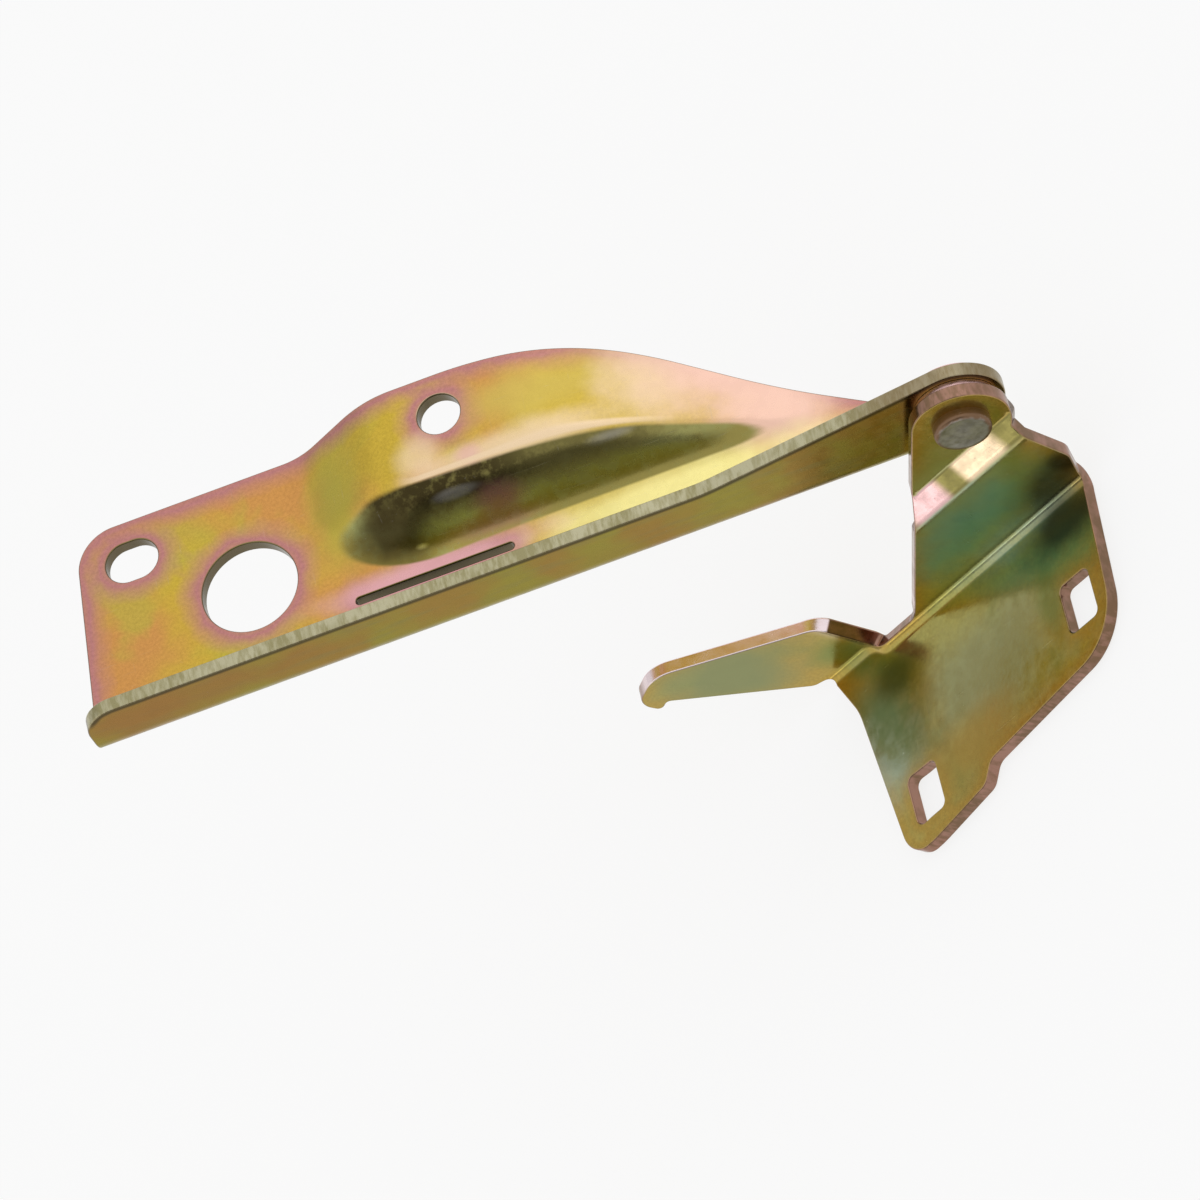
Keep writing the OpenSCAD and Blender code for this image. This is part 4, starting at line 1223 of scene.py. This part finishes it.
class HINGE_OT_stage(Operator):
    """Sets the floor, the lamps and the camera"""
    bl_idname = "hinge.stage"
    bl_label = "Stage"

    def execute(self, context):
        s = settings()
        stage_floor(s.stage)
        stage_light(s.stage)
        stage_camera(s.stage, pivot_point(s.sheet))
        return {"FINISHED"}


FLOOR_SIZE, FLOOR_LOW = 6.0, -0.0004
LAMP_AT, LAMP_AIM, LAMP_SIZE = (0.72, 0.66, 0.70), (-0.02, 0.05, 0.06), (1.1, 0.8)
# Cards that only reflections see: place, width and height in metres, and level.
CARDS = {
    "dark_card": ((-0.02, -0.95, 0.46), (1.5, 0.62), 0.26),
    "grey_card": ((-0.75, 0.62, 0.72), (0.9, 0.7), 0.78),
    "bright_card": ((-0.66, -0.88, 0.21), (0.34, 0.16), 2.0),
}
CARD_AIM = (-0.02, 0.04, 0.05)
# The picture's axes in the hinge's frame, its size in pixels and where the pivot lies in it.
VIEW_RIGHT, VIEW_DOWN = (0.6065, -0.2026, -0.7689), (-0.5375, -0.817, -0.2087)
PICTURE, PIVOT_AT, SENSOR = 1200, (961.5, 424.7), 36


def rectangle(name, width, height, z=0.0):
    """A flat mesh of one face round the origin."""
    a, b = width / 2, height / 2
    mesh = bpy.data.meshes.new(name)
    mesh.from_pydata([(-a, -b, z), (a, -b, z), (a, b, z), (-a, b, z)], [], [(0, 1, 2, 3)])
    return mesh


def cleared(owner):
    """The empty node graph of a new material or world."""
    owner.use_nodes = True
    owner.node_tree.nodes.clear()
    return Graph(owner.node_tree)


def seen_ray(g):
    """1 for camera, glossy and transmission rays."""
    path = g.add("ShaderNodeLightPath").outputs
    first = g.math("MAXIMUM", path["Is Camera Ray"], path["Is Glossy Ray"])
    return g.math("MAXIMUM", first, path["Is Transmission Ray"])


def aim(obj, place, target):
    """Puts an object at a place and turns its front to a target."""
    obj.location = place
    obj.rotation_mode = "QUATERNION"
    way = Vector(target) - Vector(place)
    obj.rotation_quaternion = way.to_track_quat("-Z", "Y")


def stage_floor(stage):
    """A pale floor that is nearly white to the camera and keeps the shadow."""
    material = bpy.data.materials.new("floor")
    g = cleared(material)
    grain = g.noise(g.add("ShaderNodeTexCoord").outputs["Object"], 40.0, 3)
    colour = g.mix(grain, stage.floor, tuple(0.98 * x for x in stage.floor))
    diffuse = g.add("ShaderNodeBsdfDiffuse", {"Color": colour})
    glow = g.add("ShaderNodeEmission", {"Strength": 1.0})
    white = g.times(seen_ray(g), stage.floor_glow)
    mix = g.add("ShaderNodeMixShader", {0: white, 1: diffuse.outputs[0], 2: glow.outputs[0]})
    g.add("ShaderNodeOutputMaterial", {"Surface": mix.outputs[0]})
    show(rectangle("floor", FLOOR_SIZE, FLOOR_SIZE, FLOOR_LOW), "floor", material)


def stage_card(name, place, size, level):
    """A card that only reflections see, turned towards the hinge."""
    material = bpy.data.materials.new(name)
    g = cleared(material)
    glow = g.add("ShaderNodeEmission", {"Color": (1, 1, 1), "Strength": level})
    g.add("ShaderNodeOutputMaterial", {"Surface": glow.outputs[0]})
    card = show(rectangle(name, *size), name, material)
    card.visible_camera = card.visible_diffuse = False
    card.visible_shadow = card.visible_transmission = False
    aim(card, place, CARD_AIM)


def stage_light(stage):
    """White surroundings, one softbox and the cards."""
    world = bpy.data.worlds.new("studio")
    bpy.context.scene.world = world
    g = cleared(world)
    fill = g.add("ShaderNodeBackground", {"Strength": stage.fill})
    white = g.add("ShaderNodeBackground", {"Strength": 1.0, "Color": (1, 1, 1)})
    sides = {0: seen_ray(g), 1: fill.outputs[0], 2: white.outputs[0]}
    g.add("ShaderNodeOutputWorld", {"Surface": g.add("ShaderNodeMixShader", sides).outputs[0]})
    lamp = bpy.data.lights.new("softbox", "AREA")
    lamp.shape = "RECTANGLE"
    lamp.size, lamp.size_y = LAMP_SIZE
    lamp.energy = stage.lamp
    box = bpy.data.objects.new("softbox", lamp)
    bpy.context.scene.collection.objects.link(box)
    aim(box, LAMP_AT, LAMP_AIM)
    for name, (place, size, level) in CARDS.items():
        stage_card(name, place, size, level)
    bpy.context.scene.view_settings.view_transform = "Standard"


def stage_camera(stage, pivot):
    """A long lens along the photograph's line of sight, with the pivot where it lies there."""
    right = Vector(VIEW_RIGHT).normalized()
    down = Vector(VIEW_DOWN)
    down = (down - right * down.dot(right)).normalized()
    back = right.cross(-down).normalized()
    pixel = stage.width * MM / PICTURE
    across, below = ((PICTURE / 2 - at) * pixel for at in PIVOT_AT)
    target = pivot + right * across + down * below
    data = bpy.data.cameras.new("camera")
    data.sensor_width = SENSOR
    data.lens = SENSOR * stage.distance / stage.width
    data.clip_start, data.clip_end = 0.01, 50
    camera = bpy.data.objects.new("camera", data)
    bpy.context.scene.collection.objects.link(camera)
    turn = Matrix((right, -down, back)).transposed().to_4x4()
    camera.matrix_world = Matrix.Translation(target + back * stage.distance * MM) @ turn
    bpy.context.scene.camera = camera


class HINGE_PT_sidebar(Panel):
    """The hinge's pieces and sizes"""
    bl_idname = "HINGE_PT_sidebar"
    bl_label = "Bonnet hinge"
    bl_space_type = "VIEW_3D"
    bl_region_type = "UI"
    bl_category = "Hinge"

    def draw(self, context):
        for operator in OPERATORS:
            self.layout.operator(operator.bl_idname)
        for key in GROUPS:
            group = getattr(context.scene, "hinge_" + key)
            column = self.layout.column(align=True)
            for name in group.bl_rna.properties.keys():
                if name not in ("rna_type", "name"):
                    column.prop(group, name)


GROUPS = {
    "sheet": HingeSheetSettings,
    "arm": HingeArmSettings,
    "bracket": HingeBracketSettings,
    "pivot": HingePivotSettings,
    "finish": HingeFinishSettings,
    "stage": HingeStageSettings,
}
OPERATORS = (HINGE_OT_arm, HINGE_OT_bracket, HINGE_OT_pivot, HINGE_OT_stage)
CLASSES = (*GROUPS.values(), *OPERATORS, HINGE_PT_sidebar)


def register():
    """Adds the classes, and the settings to the scene."""
    for cls in CLASSES:
        bpy.utils.register_class(cls)
    for key, cls in GROUPS.items():
        setattr(bpy.types.Scene, "hinge_" + key, PointerProperty(type=cls))


def unregister():
    """Takes the settings and the classes away again."""
    for key in GROUPS:
        delattr(bpy.types.Scene, "hinge_" + key)
    for cls in reversed(CLASSES):
        bpy.utils.unregister_class(cls)


def main():
    """Builds the hinge and its stage."""
    register()
    bpy.ops.hinge.arm()
    bpy.ops.hinge.bracket()
    bpy.ops.hinge.pivot()
    bpy.ops.hinge.stage()


if __name__ == "__main__":
    main()
